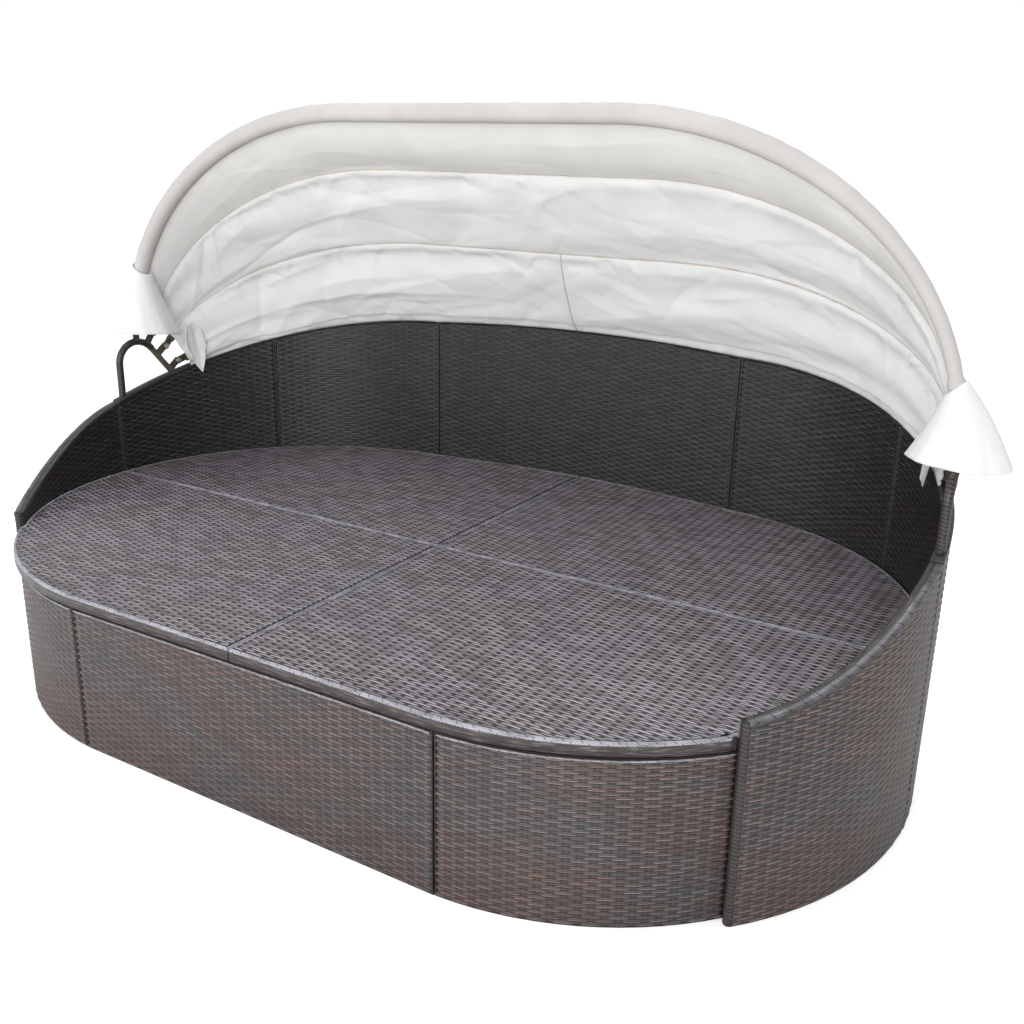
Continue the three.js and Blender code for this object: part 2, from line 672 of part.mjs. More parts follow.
// A canopy panel hangs between two bows, sags between them and folds along its length
const canopyPanel = (near, nearClear, far, farClear, sag) => (u, v) => {
  const a = near.getPoint(u);
  const b = far.getPoint(u);
  const span = a.distanceTo(b);
  const share = nearClear / span + v * (1 - (nearClear + farClear) / span);
  const point = a.clone().lerp(b, share);
  const inward = new THREE.Vector3(-point.x / endCentreX, 0, -1).normalize();
  const hang = Math.sin(Math.PI * share);
  const fold = Math.sin(Math.PI * 2 * foldCountAcross * share) * foldDepth;
  const crown = Math.sin(Math.PI * Math.min(1, Math.max(0, u)));
  return point.addScaledVector(inward, hang * crown * (sag + fold));
};
const edgeClear = (radius) => radius + clothThickness / 2 + clothGap;
const rearHem = new RearPath(panelStart);
place(daybed, "canopy_front_panel", shell(canopyPanel(
  new BowPath(frontPlane, frontPanelStart), edgeClear(sleeveRadius),
  new BowPath(secondPlane, frontPanelRearStart), edgeClear(pocketRadius), panelSag,
), clothSteps, clothRows, clothThickness), "cloth");
place(daybed, "canopy_middle_panel", shell(canopyPanel(
  new BowPath(secondPlane, panelStart), edgeClear(pocketRadius),
  new BowPath(thirdPlane, panelStart), edgeClear(pocketRadius), panelSag,
), clothSteps, clothRows, clothThickness), "cloth");
place(daybed, "canopy_rear_panel", shell(canopyPanel(
  new BowPath(thirdPlane, panelStart), edgeClear(pocketRadius),
  rearHem, edgeClear(bowRadius) + rearHemDrop, panelSag,
), clothSteps, clothRows, clothThickness), "cloth");

// End flaps: open cones of cloth over the feet of the front bow
const flap = (u, v) => {
  const open = (flapOpening / 2) * degree;
  const angle = Math.PI / 2 + open + u * (2 * Math.PI - 2 * open);
  const rise = sleeveStart + flapOverlap - v * flapHeight;
  const folds = 1 + flapFoldShare * v * Math.cos(flapFolds * angle);
  const reachX = flapTopRadius + (flapReachX - flapTopRadius) * v;
  const reachY = flapTopRadius + (flapReachY - flapTopRadius) * v;
  const sideReach = frontPlane.halfWidth - frontPlane.halfStraight;
  const slant = Math.sqrt(1 - Math.min(1, Math.max(0, rise) / frontPlane.height) ** 2);
  return new THREE.Vector3(
    frontPlane.halfStraight + sideReach * slant + folds * reachX * Math.cos(angle),
    frontPlane.y + frontPlane.up.y * rise + flapSetback * v + folds * reachY * Math.sin(angle),
    frontPlane.z + frontPlane.up.z * rise,
  );
};
pair("end_flap", shell(flap, flapColumns, flapRows, clothThickness), "cloth");

// The origin is in the middle of the footprint
daybed.position.y = (frontReach - backReach) / 2;
const part = new THREE.Group();
part.add(daybed);

export default part;
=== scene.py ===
# %% [markdown]
# # Outdoor daybed with a folding canopy
# The seat is an oval of two half discs and a straight middle. Flat strips of plastic rattan are woven over
# welded tube frames: curved wall panels at the back and ends, lower panels at the front, four deck boards.
# A cloth canopy stands over it on four bows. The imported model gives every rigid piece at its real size, and
# this script adds the woven surfaces, their wrapped edges and the cloth.

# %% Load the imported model
import functools
import itertools
import json
import math

import bmesh
import bpy
import numpy as np
from mathutils import Matrix, Vector

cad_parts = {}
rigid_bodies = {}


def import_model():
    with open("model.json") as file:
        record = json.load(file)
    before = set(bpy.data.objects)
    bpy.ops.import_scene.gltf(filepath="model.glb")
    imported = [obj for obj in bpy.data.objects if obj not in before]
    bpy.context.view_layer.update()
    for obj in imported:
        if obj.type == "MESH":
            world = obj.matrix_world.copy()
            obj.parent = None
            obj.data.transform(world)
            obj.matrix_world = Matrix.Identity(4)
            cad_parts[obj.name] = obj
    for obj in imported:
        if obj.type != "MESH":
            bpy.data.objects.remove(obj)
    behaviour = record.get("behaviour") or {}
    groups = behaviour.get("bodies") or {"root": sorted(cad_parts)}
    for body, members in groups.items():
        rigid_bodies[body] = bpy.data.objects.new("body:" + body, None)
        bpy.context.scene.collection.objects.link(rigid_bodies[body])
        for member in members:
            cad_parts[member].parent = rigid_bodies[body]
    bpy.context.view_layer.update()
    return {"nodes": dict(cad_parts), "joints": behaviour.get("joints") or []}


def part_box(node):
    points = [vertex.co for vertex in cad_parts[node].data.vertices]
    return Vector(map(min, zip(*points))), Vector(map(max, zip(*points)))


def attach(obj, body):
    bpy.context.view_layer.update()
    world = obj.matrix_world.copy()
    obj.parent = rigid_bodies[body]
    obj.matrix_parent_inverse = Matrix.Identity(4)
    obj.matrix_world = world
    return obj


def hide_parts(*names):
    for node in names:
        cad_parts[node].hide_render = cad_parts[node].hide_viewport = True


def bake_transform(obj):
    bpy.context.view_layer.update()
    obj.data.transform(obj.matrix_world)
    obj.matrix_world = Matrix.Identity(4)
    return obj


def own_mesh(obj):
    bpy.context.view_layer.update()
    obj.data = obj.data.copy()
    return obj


for leftover in list(bpy.data.objects):
    bpy.data.objects.remove(leftover)
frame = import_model()
nodes = frame["nodes"]

# %% [markdown]
# ## The plan, read from the frame
# All curved panels share two centres, one for each end of the oval. Most numbers come from the boxes of the
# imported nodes; the rest are the same driving dimensions that the solids were drawn with, in metres.

# %% Sizes of the seat
end_centre_x = 0.373
panel_thickness = 0.016
front_half = 0.400
back_half = 0.403
seam_gap = 0.003
corner_seam_angle = math.radians(42.5)
board_gap = 0.004
board_wall_clearance = 0.004
board_overhang = 0.009
wing_clearance = 0.002
wing_tuck = 0.016
wing_front_height = 0.335
wall_front_height = 0.485
wall_slope = 0.307
wing_start_ease = 0.4
wing_end_ease = 0.6
centre_bulge = 0.038

middle_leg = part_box("middle_leg")
seat_line_y = (middle_leg[0].y + middle_leg[1].y) / 2
deck_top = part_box("right_front_board")[1].z
deck_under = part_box("right_front_board")[0].z
deck_reach = seat_line_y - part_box("right_front_board")[0].y
skirt_height = 0.283
wall_outer_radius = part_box("right_side_back_panel")[1].x - end_centre_x
wall_inner_radius = wall_outer_radius - panel_thickness
wall_middle_radius = wall_outer_radius - panel_thickness / 2
wing_back_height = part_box("right_wing")[1].z
wing_front_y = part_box("right_wing")[0].y - seat_line_y
nose_radius = panel_thickness / 2
board_side_radius = wall_inner_radius - board_wall_clearance
skirt_reach = deck_reach - board_overhang
skirt_side_radius = board_side_radius - board_overhang
back_seam_angle = math.acos((back_half - end_centre_x) / wall_inner_radius)
back_seam_y = wall_inner_radius * math.sin(back_seam_angle)
bulge_radius = (back_half**2 + centre_bulge**2) / (2 * centre_bulge)
bulge_centre_y = back_seam_y + centre_bulge - bulge_radius
wing_front_angle = math.asin((wing_front_y + nose_radius) / wall_middle_radius)
half_seam_angle = seam_gap / 2 / wall_inner_radius
print("deck", round(deck_reach + back_seam_y + centre_bulge, 3), "m deep, wall radius", wall_outer_radius)

# %% [markdown]
# ## Paths in plan
# A woven panel is a flat sheet bent along a line in plan. A path holds that line as points with their outward
# directions, and gives the point at any distance along it, so that the weave keeps its real size round bends.

# %% Plan paths
path_steps = 240


def xyz(x, y, z):
    """Points or directions from their three parts, any of which may be a single number."""
    return np.stack(np.broadcast_arrays(x, y, z), axis=-1)


def upward(count):
    return np.tile([0.0, 0.0, 1.0], (count, 1))


def unit(vectors):
    return vectors / np.linalg.norm(vectors, axis=1)[:, None]


def distances(points):
    """How far along a line of points each of them is."""
    steps = np.linalg.norm(np.diff(points, axis=0), axis=1)
    return np.concatenate([[0.0], np.cumsum(steps)])


class PlanPath:
    """A line in plan with outward directions, measured by its length."""

    def __init__(self, points, outward):
        self.points = np.array(points)
        self.outward = np.array(outward)
        self.run = distances(self.points)
        self.length = self.run[-1]

    def at(self, run):
        x = np.interp(run, self.run, self.points[:, 0])
        y = np.interp(run, self.run, self.points[:, 1])
        nx = np.interp(run, self.run, self.outward[:, 0])
        ny = np.interp(run, self.run, self.outward[:, 1])
        return x, y, nx, ny


def oval_path(centre_x, centre_y, reach_x, reach_y, start, end, side=1):
    """Part of an ellipse about a centre; side -1 mirrors it to the left."""
    angle = np.linspace(start, end, path_steps)
    cos, sin = np.cos(angle), np.sin(angle)
    points = np.stack([side * (centre_x + reach_x * cos), seat_line_y + centre_y + reach_y * sin], axis=1)
    return PlanPath(points, unit(np.stack([side * cos / reach_x, sin / reach_y], axis=1)))


def end_path(radius, start, end, side):
    return oval_path(end_centre_x, 0.0, radius, radius, start, end, side)


def straight_path(x_from, x_to, y, facing):
    return PlanPath([(x_from, y), (x_to, y)], [(0.0, facing)] * 2)


def wing_top(y):
    """Height of a wing's top at a distance in front of the seat line: a cubic curve, eased at both ends."""
    share = np.linspace(0.0, 1.0, path_steps)
    rise = (wing_back_height - wing_front_height) / 3
    heights = (
        wing_front_height,
        wing_front_height + rise * wing_start_ease,
        wing_back_height - rise * wing_end_ease,
        wing_back_height,
    )
    curve = sum(
        math.comb(3, k) * share**k * (1 - share) ** (3 - k) * height for k, height in enumerate(heights)
    )
    return np.interp(y - seat_line_y, wing_front_y * (1 - share), curve)


def wall_top(y):
    return wall_front_height + wall_slope * (y - seat_line_y)


# %% [markdown]
# ## Materials
# Every finish is a small graph of nodes. The helpers below add nodes and join them, and a node's output can
# be added, multiplied and ramped, so that the graphs read like formulas.

# %% Node helpers
class Signal:
    """The output of a node. Arithmetic with it adds further nodes."""

    def __init__(self, finish, socket):
        self.finish = finish
        self.socket = socket

    def __add__(self, other):
        return self.finish.math("ADD", self, other)

    def __sub__(self, other):
        return self.finish.math("SUBTRACT", self, other)

    def __mul__(self, other):
        return self.finish.math("MULTIPLY", self, other)

    def __abs__(self):
        return self.finish.math("ABSOLUTE", self)

    def floor(self):
        return self.finish.math("FLOOR", self)

    def fract(self):
        return self.finish.math("FRACT", self)

    def ramp(self, low, high, start=0.0, end=1.0):
        """start below low, end above high, and a smooth step between."""
        inputs = {"Value": self, "From Min": low, "From Max": high, "To Min": start, "To Max": end}
        made = self.finish.node("ShaderNodeMapRange", inputs, interpolation_type="SMOOTHSTEP")
        return Signal(self.finish, made.outputs["Result"])


class Finish:
    """A material whose nodes are added by short calls."""

    def __init__(self, name):
        self.material = bpy.data.materials.new(name)
        self.material.use_nodes = True
        self.tree = self.material.node_tree
        self.shader = self.tree.nodes["Principled BSDF"]

    def put(self, socket, value):
        if isinstance(value, Signal):
            value = value.socket
        if isinstance(value, bpy.types.NodeSocket):
            self.tree.links.new(value, socket)
        else:
            socket.default_value = value

    def node(self, kind, inputs=(), **settings):
        made = self.tree.nodes.new(kind)
        for name, value in settings.items():
            setattr(made, name, value)
        for name, value in dict(inputs).items():
            self.put(made.inputs[name], value)
        return made

    def math(self, operation, first, second=0.0):
        made = self.node("ShaderNodeMath", operation=operation)
        self.put(made.inputs[0], first)
        self.put(made.inputs[1], second)
        return Signal(self, made.outputs[0])

    def mix(self, share, first, second, blend="MIX"):
        made = self.node("ShaderNodeMix", data_type="RGBA", blend_type=blend)
        self.put(made.inputs["Factor"], share)
        self.put(made.inputs[6], first)
        self.put(made.inputs[7], second)
        return made.outputs[2]

    def noise(self, vector, scale, detail=2.0, rough=0.5, **settings):
        inputs = {"Vector": vector, "Scale": scale, "Detail": detail, "Roughness": rough}
        return Signal(self, self.node("ShaderNodeTexNoise", inputs, **settings).outputs["Fac"])

    def chance(self, first, second):
        """A random number from 0 to 1 for each pair of whole numbers."""
        inputs = {"Vector": self.combine(first, second)}
        made = self.node("ShaderNodeTexWhiteNoise", inputs, noise_dimensions="2D")
        return Signal(self, made.outputs["Value"])

    def turn_chance(self, turn):
        """A random number from 0 to 1 for each turn of a wrapping."""
        made = self.node("ShaderNodeTexWhiteNoise", noise_dimensions="1D")
        self.put(made.inputs["W"], turn)
        return Signal(self, made.outputs["Value"])

    def combine(self, x, y, z=0.0):
        return self.node("ShaderNodeCombineXYZ", {"X": x, "Y": y, "Z": z}).outputs[0]

    def uv(self, name):
        made = self.node("ShaderNodeUVMap", uv_map=name)
        split = self.node("ShaderNodeSeparateXYZ", {"Vector": made.outputs[0]})
        return Signal(self, split.outputs["X"]), Signal(self, split.outputs["Y"])

    def place(self):
        return self.node("ShaderNodeTexCoord").outputs["Object"]

    def bump(self, height, distance, strength=1.0):
        made = self.node("ShaderNodeBump", {"Height": height})
        made.inputs["Distance"].default_value = distance
        made.inputs["Strength"].default_value = strength
        self.put(self.shader.inputs["Normal"], made.outputs[0])

    def set(self, **sockets):
        for name, value in sockets.items():
            self.put(self.shader.inputs[name.replace("_", " ")], value)


def tone(red, green, blue):
    return (red, green, blue, 1.0)


# %% [markdown]
# ## The woven sheet
# Plastic rattan is woven plain: a flat strip 6 mm wide passes over one upright and under the next, and the
# next strip does the opposite. A bump map would look flat at the edges, so the sheet is a real relief: a grid
# with three rows of faces for each strip and three columns for each upright. The operator makes the grid, and
# its points are then moved: up and down for the weave, and along the panel's path for its place.

# %% Weave sizes
strip_pitch = 0.0063
upright_pitch = 0.0202
skin_base = 0.0013
skin_thickness = 0.0012
strip_shares = np.array([0.0, 0.22, 0.78])
upright_shares = np.array([0.0, 0.24, 0.76])
over_lift = np.array([0.0009, 0.0007, 0.0007])
under_lift = np.array([-0.0008, 0.0001, 0.0001])
valley_lift = -0.0005


# %% Points against an outline
def inside_outline(outline, x, y):
    """Even-odd test of many points against one closed outline."""
    inside = np.zeros(x.shape, bool)
    for (ax, ay), (bx, by) in zip(outline, np.roll(outline, -1, axis=0)):
        if ay == by:
            continue
        crosses = (ay > y) != (by > y)
        inside ^= crosses & (x < ax + (y - ay) * (bx - ax) / (by - ay))
    return inside


def nearest_on_outline(outline, x, y):
    best = np.full(x.shape, np.inf)
    near_x, near_y = x.copy(), y.copy()
    for (ax, ay), (bx, by) in zip(outline, np.roll(outline, -1, axis=0)):
        along = (bx - ax) ** 2 + (by - ay) ** 2
        if along == 0:
            continue
        share = np.clip(((x - ax) * (bx - ax) + (y - ay) * (by - ay)) / along, 0, 1)
        px, py = ax + share * (bx - ax), ay + share * (by - ay)
        distance = (x - px) ** 2 + (y - py) ** 2
        closer = distance < best
        best[closer] = distance[closer]
        near_x[closer], near_y[closer] = px[closer], py[closer]
    return near_x, near_y


# %% Grids and pieces
def bent_grid(name, columns, rows, keep=None):
    """A grid from the operator, with each point's column and row. keep chooses the points that stay."""
    grid = bmesh.new()
    bmesh.ops.create_grid(grid, x_segments=columns, y_segments=rows, size=1.0)
    grid.verts.ensure_lookup_table()
    flat = np.array([v.co for v in grid.verts])
    column = np.rint((flat[:, 0] + 1) / 2 * columns).astype(int)
    row = np.rint((flat[:, 1] + 1) / 2 * rows).astype(int)
    if keep is not None:
        stays = keep(column, row)
        spare = [grid.verts[k] for k in np.nonzero(~stays)[0]]
        bmesh.ops.delete(grid, geom=spare, context="VERTS")
        column, row = column[stays], row[stays]
    mesh = bpy.data.meshes.new(name)
    grid.to_mesh(mesh)
    grid.free()
    return mesh, column, row


def set_points(mesh, points):
    mesh.vertices.foreach_set("co", np.asarray(points, np.float32).ravel())
    mesh.update()


def set_uv(mesh, name, u, v):
    corner = np.zeros(len(mesh.loops), int)
    mesh.loops.foreach_get("vertex_index", corner)
    layer = mesh.uv_layers.new(name=name)
    pairs = np.stack([u[corner], v[corner]], axis=1).astype(np.float32)
    layer.data.foreach_set("uv", pairs.ravel())


def face_along(mesh, wanted):
    """Turns all faces so that the first points along the wanted direction."""
    first = mesh.polygons[0]
    if np.dot(first.normal, wanted[first.vertices[0]]) < 0:
        mesh.flip_normals()


def add_object(name, data):
    made = bpy.data.objects.new(name, data)
    bpy.context.scene.collection.objects.link(made)
    return made


def show(name, mesh, material, thickness=0.0, side=-1.0):
    """Puts a mesh in the scene with smooth shading, and gives a sheet its thickness."""
    mesh.materials.append(material)
    mesh.shade_smooth()
    piece = add_object(name, mesh)
    if thickness:
        solid = piece.modifiers.new("thickness", "SOLIDIFY")
        solid.thickness = thickness
        solid.offset = side
    return piece


def show_woven(name, mesh, material, body="base", thickness=0.0):
    piece = show(name, mesh, material, thickness)
    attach(piece, body)


# %% The weave itself
def woven(name, outline, place, material, body="base"):
    """A woven sheet inside a flat outline, in metres; place turns (run, height, lift) into points."""
    outline = np.array(outline)
    low, high = outline.min(0), outline.max(0)
    uprights = max(2, round((high[0] - low[0]) / upright_pitch))
    pitch = (high[0] - low[0]) / uprights
    strips = math.ceil((high[1] - low[1]) / strip_pitch)
    per_upright, per_strip = len(upright_shares), len(strip_shares)
    columns, rows = uprights * per_upright, strips * per_strip

    def flat(column, row):
        run = low[0] + pitch * (column // per_upright + upright_shares[column % per_upright])
        height = low[1] + strip_pitch * (row // per_strip + strip_shares[row % per_strip])
        return run, height

    all_columns, all_rows = np.meshgrid(np.arange(columns + 1), np.arange(rows + 1), indexing="ij")
    inside = inside_outline(outline, *flat(all_columns, all_rows))
    near = np.zeros(inside.shape, bool)
    padded = np.pad(inside, 1)
    for i, j in itertools.product(range(3), repeat=2):
        near |= padded[i:i + columns + 1, j:j + rows + 1]

    mesh, column, row = bent_grid(name, columns, rows, lambda c, r: near[c, r])
    run, height = flat(column, row)
    u, v = (run - low[0]) / pitch, (height - low[1]) / strip_pitch
    outside = ~inside[column, row]
    run[outside], height[outside] = nearest_on_outline(outline, run[outside], height[outside])

    upright = column // per_upright + (column % per_upright == per_upright - 1)
    over = (upright + row // per_strip) % 2 == 0
    lift = np.where(over, over_lift[column % per_upright], under_lift[column % per_upright])
    lift = np.where(row % per_strip == 0, valley_lift, lift)
    points = place(run, height, skin_base + lift)
    set_uv(mesh, "weave", u, v)
    set_points(mesh, points)
    face_along(mesh, place(run, height, skin_base + lift + 1.0) - points)
    show_woven(name, mesh, material, body, skin_thickness)


def upright_place(path, facing):
    """Puts a woven sheet on a panel: run along the path, height above the floor, lift outwards or inwards."""

    def place(run, height, lift):
        x, y, nx, ny = path.at(run)
        return xyz(x + facing * lift * nx, y + facing * lift * ny, height)

    return place


# %% [markdown]
# ## The finish of the weave
# Each strip is extruded from mixed pellets, so its colour wanders from brown to blue-grey along its length.
# The graph reads the sheet's own UV map, which counts uprights along u and strips along v, so every strip and
# every visible stretch of a strip gets a tone of its own.

# %% Weave finish
# Besides the strips' own tones, the finish paints a highlight on each strip and shade in the gaps of the
# weave.
soft_step = 0.05
strip_grain = 0.0002


def weave_finish(name, brown, grey, light, upright_tone, hole_shade, hole_shade_from, painted_highlight, painted_highlight_to, row_gap_shadow,
                 gloss=0.36, hole_shade_band=0.5, gap_shadow_to=0.12):
    """hole_shade is how dark the painted shade in the gap beside each upright is, from the share
    hole_shade_from of the way to it and over the share hole_shade_band from each edge of the strip.
    painted_highlight is how light the painted highlight on the raised part of a strip is, up to the share
    painted_highlight_to of its width. row_gap_shadow is how dark the painted shadow in the gap between two
    strips is, up to the share gap_shadow_to. light is the tone of both the light streaks and the painted
    highlight."""
    finish = Finish(name)
    u, v = finish.uv("weave")
    strip, across = v.floor(), v.fract()
    phase = u + strip
    fold = finish.math("PINGPONG", phase, 1.0)
    stretch = ((phase + 1.0) * 0.5).floor()
    chance = finish.chance(stretch, strip)
    long_run = finish.noise(finish.combine(u * 0.06, strip * 0.31), 1.0, 3.0, 0.6)
    patch = finish.noise(finish.combine(u * 0.09, v * 0.03), 1.0, 2.0, 0.5)
    streak = finish.noise(finish.combine(u * 0.9, v * 9.0), 1.0, 3.0, 0.6)
    base = finish.mix((patch * 0.55 + long_run * 0.45).ramp(0.42, 0.58), brown, grey)
    spread = chance * 0.36 + 0.82
    base = finish.mix(1.0, base, finish.combine(spread, spread, spread), "MULTIPLY")
    base = finish.mix(streak.ramp(0.55, 0.75, 0.0, 0.25), base, light)
    # Painted highlight: the raised part of each strip is lightened towards the light tone, as if lit from
    # above.
    bowed = fold * fold * 0.14 + across
    edge = bowed.ramp(0.08, 0.18) * bowed.ramp(painted_highlight_to + 2 * soft_step, painted_highlight_to - 2 * soft_step)
    crest_highlight = fold.ramp(hole_shade_from, hole_shade_from - 3 * soft_step)
    highlight_mask = edge * crest_highlight * (chance.ramp(0.0, 1.0, 0.45, 1.0) * painted_highlight)
    base = finish.mix(highlight_mask, base, light)
    middle = across.ramp(0.0, 0.08) * across.ramp(1.0, 0.92)
    # Painted shade: the gap beside each upright, where the strip dives under, is darkened.
    at_edge = abs(across - 0.5).ramp(0.5 - soft_step - hole_shade_band, 0.5 + soft_step - hole_shade_band)
    under = fold.ramp(hole_shade_from - soft_step, hole_shade_from + soft_step) * at_edge
    base = finish.mix(under * hole_shade, base, gap_shade_tone)
    base = finish.mix(fold.ramp(0.90, 0.96) * middle, base, upright_tone)
    # Painted shadow: the gap between two strips is darkened.
    gap = finish.math("MINIMUM", across.ramp(0.02, gap_shadow_to), across.ramp(0.98, 0.96 - gap_shadow_to))
    base = finish.mix(gap, finish.mix(row_gap_shadow, base, gap_shade_tone), base)
    finish.set(Base_Color=base, Roughness=streak.ramp(0.3, 0.8, gloss, gloss + 0.16))
    finish.shader.inputs["Specular IOR Level"].default_value = 0.5
    finish.bump(streak, strip_grain, 0.5)
    return finish.material


# Painted shade in the cuts between the turns of the wrapped edges.
slit_shade_tone = tone(0.020, 0.014, 0.012)
# Near black: painted shade in the holes and gaps of the weave and between the turns of the wound tubes.
gap_shade_tone = tone(0.006, 0.004, 0.004)
outer_weave = weave_finish(
    "outer_weave", tone(0.070, 0.042, 0.035), tone(0.048, 0.048, 0.055), tone(0.36, 0.29, 0.28),
    tone(0.066, 0.043, 0.037), hole_shade=0.95, hole_shade_from=0.70, painted_highlight=0.80, painted_highlight_to=0.34, row_gap_shadow=0.80,
    gloss=0.36, hole_shade_band=0.30)
# The inner face has the same strips as the outer one; its much darker tones are painted shade.
inner_weave_painted_shade = weave_finish(
    "inner_weave_painted_shade", tone(0.007, 0.0045, 0.0045), tone(0.006, 0.0055, 0.008), tone(0.22, 0.19, 0.21),
    tone(0.006, 0.005, 0.005), hole_shade=0.95, hole_shade_from=0.64, painted_highlight=0.72, painted_highlight_to=0.36, row_gap_shadow=0.8)
# The deck has the same strips as the walls; its lighter and wider highlight is painted sheen at a grazing
# angle.
deck_weave = weave_finish(
    "deck_weave", tone(0.044, 0.031, 0.029), tone(0.044, 0.042, 0.049), tone(0.42, 0.385, 0.43),
    tone(0.012, 0.010, 0.010), hole_shade=0.97, hole_shade_from=0.86, painted_highlight=0.85, painted_highlight_to=0.62, row_gap_shadow=0.97,
    gloss=0.28, hole_shade_band=0.30, gap_shadow_to=0.20)

# %% [markdown]
# ## Woven panels
# The outer skins start just above the floor and end under the edging; the inner skins start below the deck.

# %% Outlines of the wall panels
edging_cover = 0.006
skin_foot = 0.003
inner_foot = deck_under
end_margin = 0.002
outline_steps = 60


def panel_outline(path, foot, top):
    """A flat outline: straight at the foot and the ends, and the top line above."""
    run = np.linspace(end_margin, path.length - end_margin, outline_steps)
    _, y, _, _ = path.at(run)
    upper = np.stack([run, top(y) - edging_cover], axis=1)
    lower = np.array([[run[-1], foot], [run[0], foot]])
    return np.concatenate([upper, lower])


wall_spans = {
    "wing": (wing_front_angle, -half_seam_angle, wing_top),
    "side_back": (half_seam_angle, corner_seam_angle - half_seam_angle, wall_top),
    "corner_back": (corner_seam_angle + half_seam_angle, back_seam_angle - half_seam_angle, wall_top),
}
sides = {"right": 1, "left": -1}


def bulge_path(radius):
    half = math.asin((back_half - seam_gap / 2) / radius)
    return oval_path(0.0, bulge_centre_y, radius, radius, math.pi / 2 - half, math.pi / 2 + half)


def wall_parts(inset):
    """Each wall panel's name, its top and its plan, inset from the wall's outer face."""
    for side_name, side in sides.items():
        for part, (start, end, top) in wall_spans.items():
            yield f"{side_name}_{part}", top, end_path(wall_outer_radius - inset, start, end, side)
    yield "centre_back", wall_top, bulge_path(bulge_radius + (panel_thickness - inset))


for (name, top, outer), (_, _, inner) in zip(wall_parts(0.0), wall_parts(panel_thickness)):
    woven(f"{name}_outer_weave", panel_outline(outer, skin_foot, top), upright_place(outer, 1), outer_weave)
    woven(f"{name}_inner_weave_painted_shade", panel_outline(inner, inner_foot, top), upright_place(inner, -1), inner_weave_painted_shade)

# %% [markdown]
# ## Front panels
# The front is three low panels: a flat one, and two that bend round to the wings. They are woven on the
# outside only, because the deck boards hide their inner side. The same sheet makes them, and only the path
# and the level top differ from the wall's.

# %% Front panels
skirt_start = -math.acos((front_half + seam_gap / 2 - end_centre_x) / skirt_side_radius)
skirt_end = math.asin((wing_front_y + wing_tuck) / skirt_reach)


def skirt_top(y):
    return np.full(np.shape(y), skirt_height)


def front_parts(inset=0.0):
    """Each front panel's name and its plan, on its outer face or inset from it."""
    half = front_half - seam_gap / 2
    yield "front_centre", straight_path(-half, half, seat_line_y - skirt_reach + inset, -1.0)
    reach_x, reach_y = skirt_side_radius - inset, skirt_reach - inset
    for side_name, side in sides.items():
        corner = oval_path(end_centre_x, 0.0, reach_x, reach_y, skirt_start, skirt_end, side)
        yield f"{side_name}_front_corner", corner


for name, path in front_parts():
    woven(f"{name}_weave", panel_outline(path, skin_foot, skirt_top), upright_place(path, 1), outer_weave)
print("woven panels made")

# %% [markdown]
# ## Deck boards
# The four boards are trays with a woven top. Their strips run from side to side, as the short dark dashes in
# rows show. The outline repeats the board's plan: two straight edges at the seams and the curved outer edge,
# cut back where a wing stands outside it.

# %% Board outlines
board_edge = 0.006


def front_board_outline(inset):
    near = board_gap / 2 + inset
    reach = deck_reach - inset
    radius = board_side_radius - inset
    angle = np.linspace(-math.pi / 2, -math.asin(near / reach), 90)
    x = end_centre_x + radius * np.cos(angle)
    y = reach * np.sin(angle)
    inside_wing = wall_inner_radius - wing_clearance - inset
    beside_wing = y > wing_front_y - wing_clearance - inset
    distance = np.hypot(x - end_centre_x, y)
    pull = np.where(beside_wing, np.minimum(1.0, inside_wing / distance), 1.0)
    curve = np.stack([end_centre_x + (x - end_centre_x) * pull, y * pull], axis=1)
    return np.concatenate([[[near, -near], [near, -reach]], curve])


def back_board_outline(inset):
    near = board_gap / 2 + inset
    radius = board_side_radius - inset
    bulge = bulge_radius - board_wall_clearance - inset
    round_end = np.linspace(math.asin(near / radius), back_seam_angle, 60)
    curve = np.stack([end_centre_x + radius * np.cos(round_end), radius * np.sin(round_end)], axis=1)
    middle = np.linspace(math.acos(back_half / bulge), math.acos(near / bulge), 30)
    arc = np.stack([bulge * np.cos(middle), bulge_centre_y + bulge * np.sin(middle)], axis=1)
    return np.concatenate([[[near, near]], curve, arc])


def deck_place(side):
    def place(run, across, lift):
        return xyz(side * run, seat_line_y + across, deck_top + lift)

    return place


board_outlines = {"front_board": front_board_outline, "back_board": back_board_outline}
for side_name, side in sides.items():
    for part, outline in board_outlines.items():
        woven(f"{side_name}_{part}_weave", outline(board_edge), deck_place(side), deck_weave)
print("deck boards woven")

# %% [markdown]
# ## Wrapped edges
# Every panel and board ends in a flat strip laid along the frame's tube and sewn down with crossing stitches.
# An edging is a grid again: once round the section, and along the edge. The stitches are shallow slanting
# notches.

# %% Edging
stitch_pitch = 0.026
notch_depth = 0.0012
notch_half_share = 0.10
notch_slant = 0.35
edging_step = 0.0058
weld_distance = 0.00002


def close_mesh(mesh, caps=True):
    """Joins the edges of a rolled grid where they meet, and fills its open ends."""
    solid = bmesh.new()
    solid.from_mesh(mesh)
    bmesh.ops.remove_doubles(solid, verts=solid.verts, dist=weld_distance)
    if caps:
        bmesh.ops.holes_fill(solid, edges=[e for e in solid.edges if e.is_boundary], sides=0)
    bmesh.ops.recalc_face_normals(solid, faces=solid.faces)
    solid.to_mesh(mesh)
    solid.free()


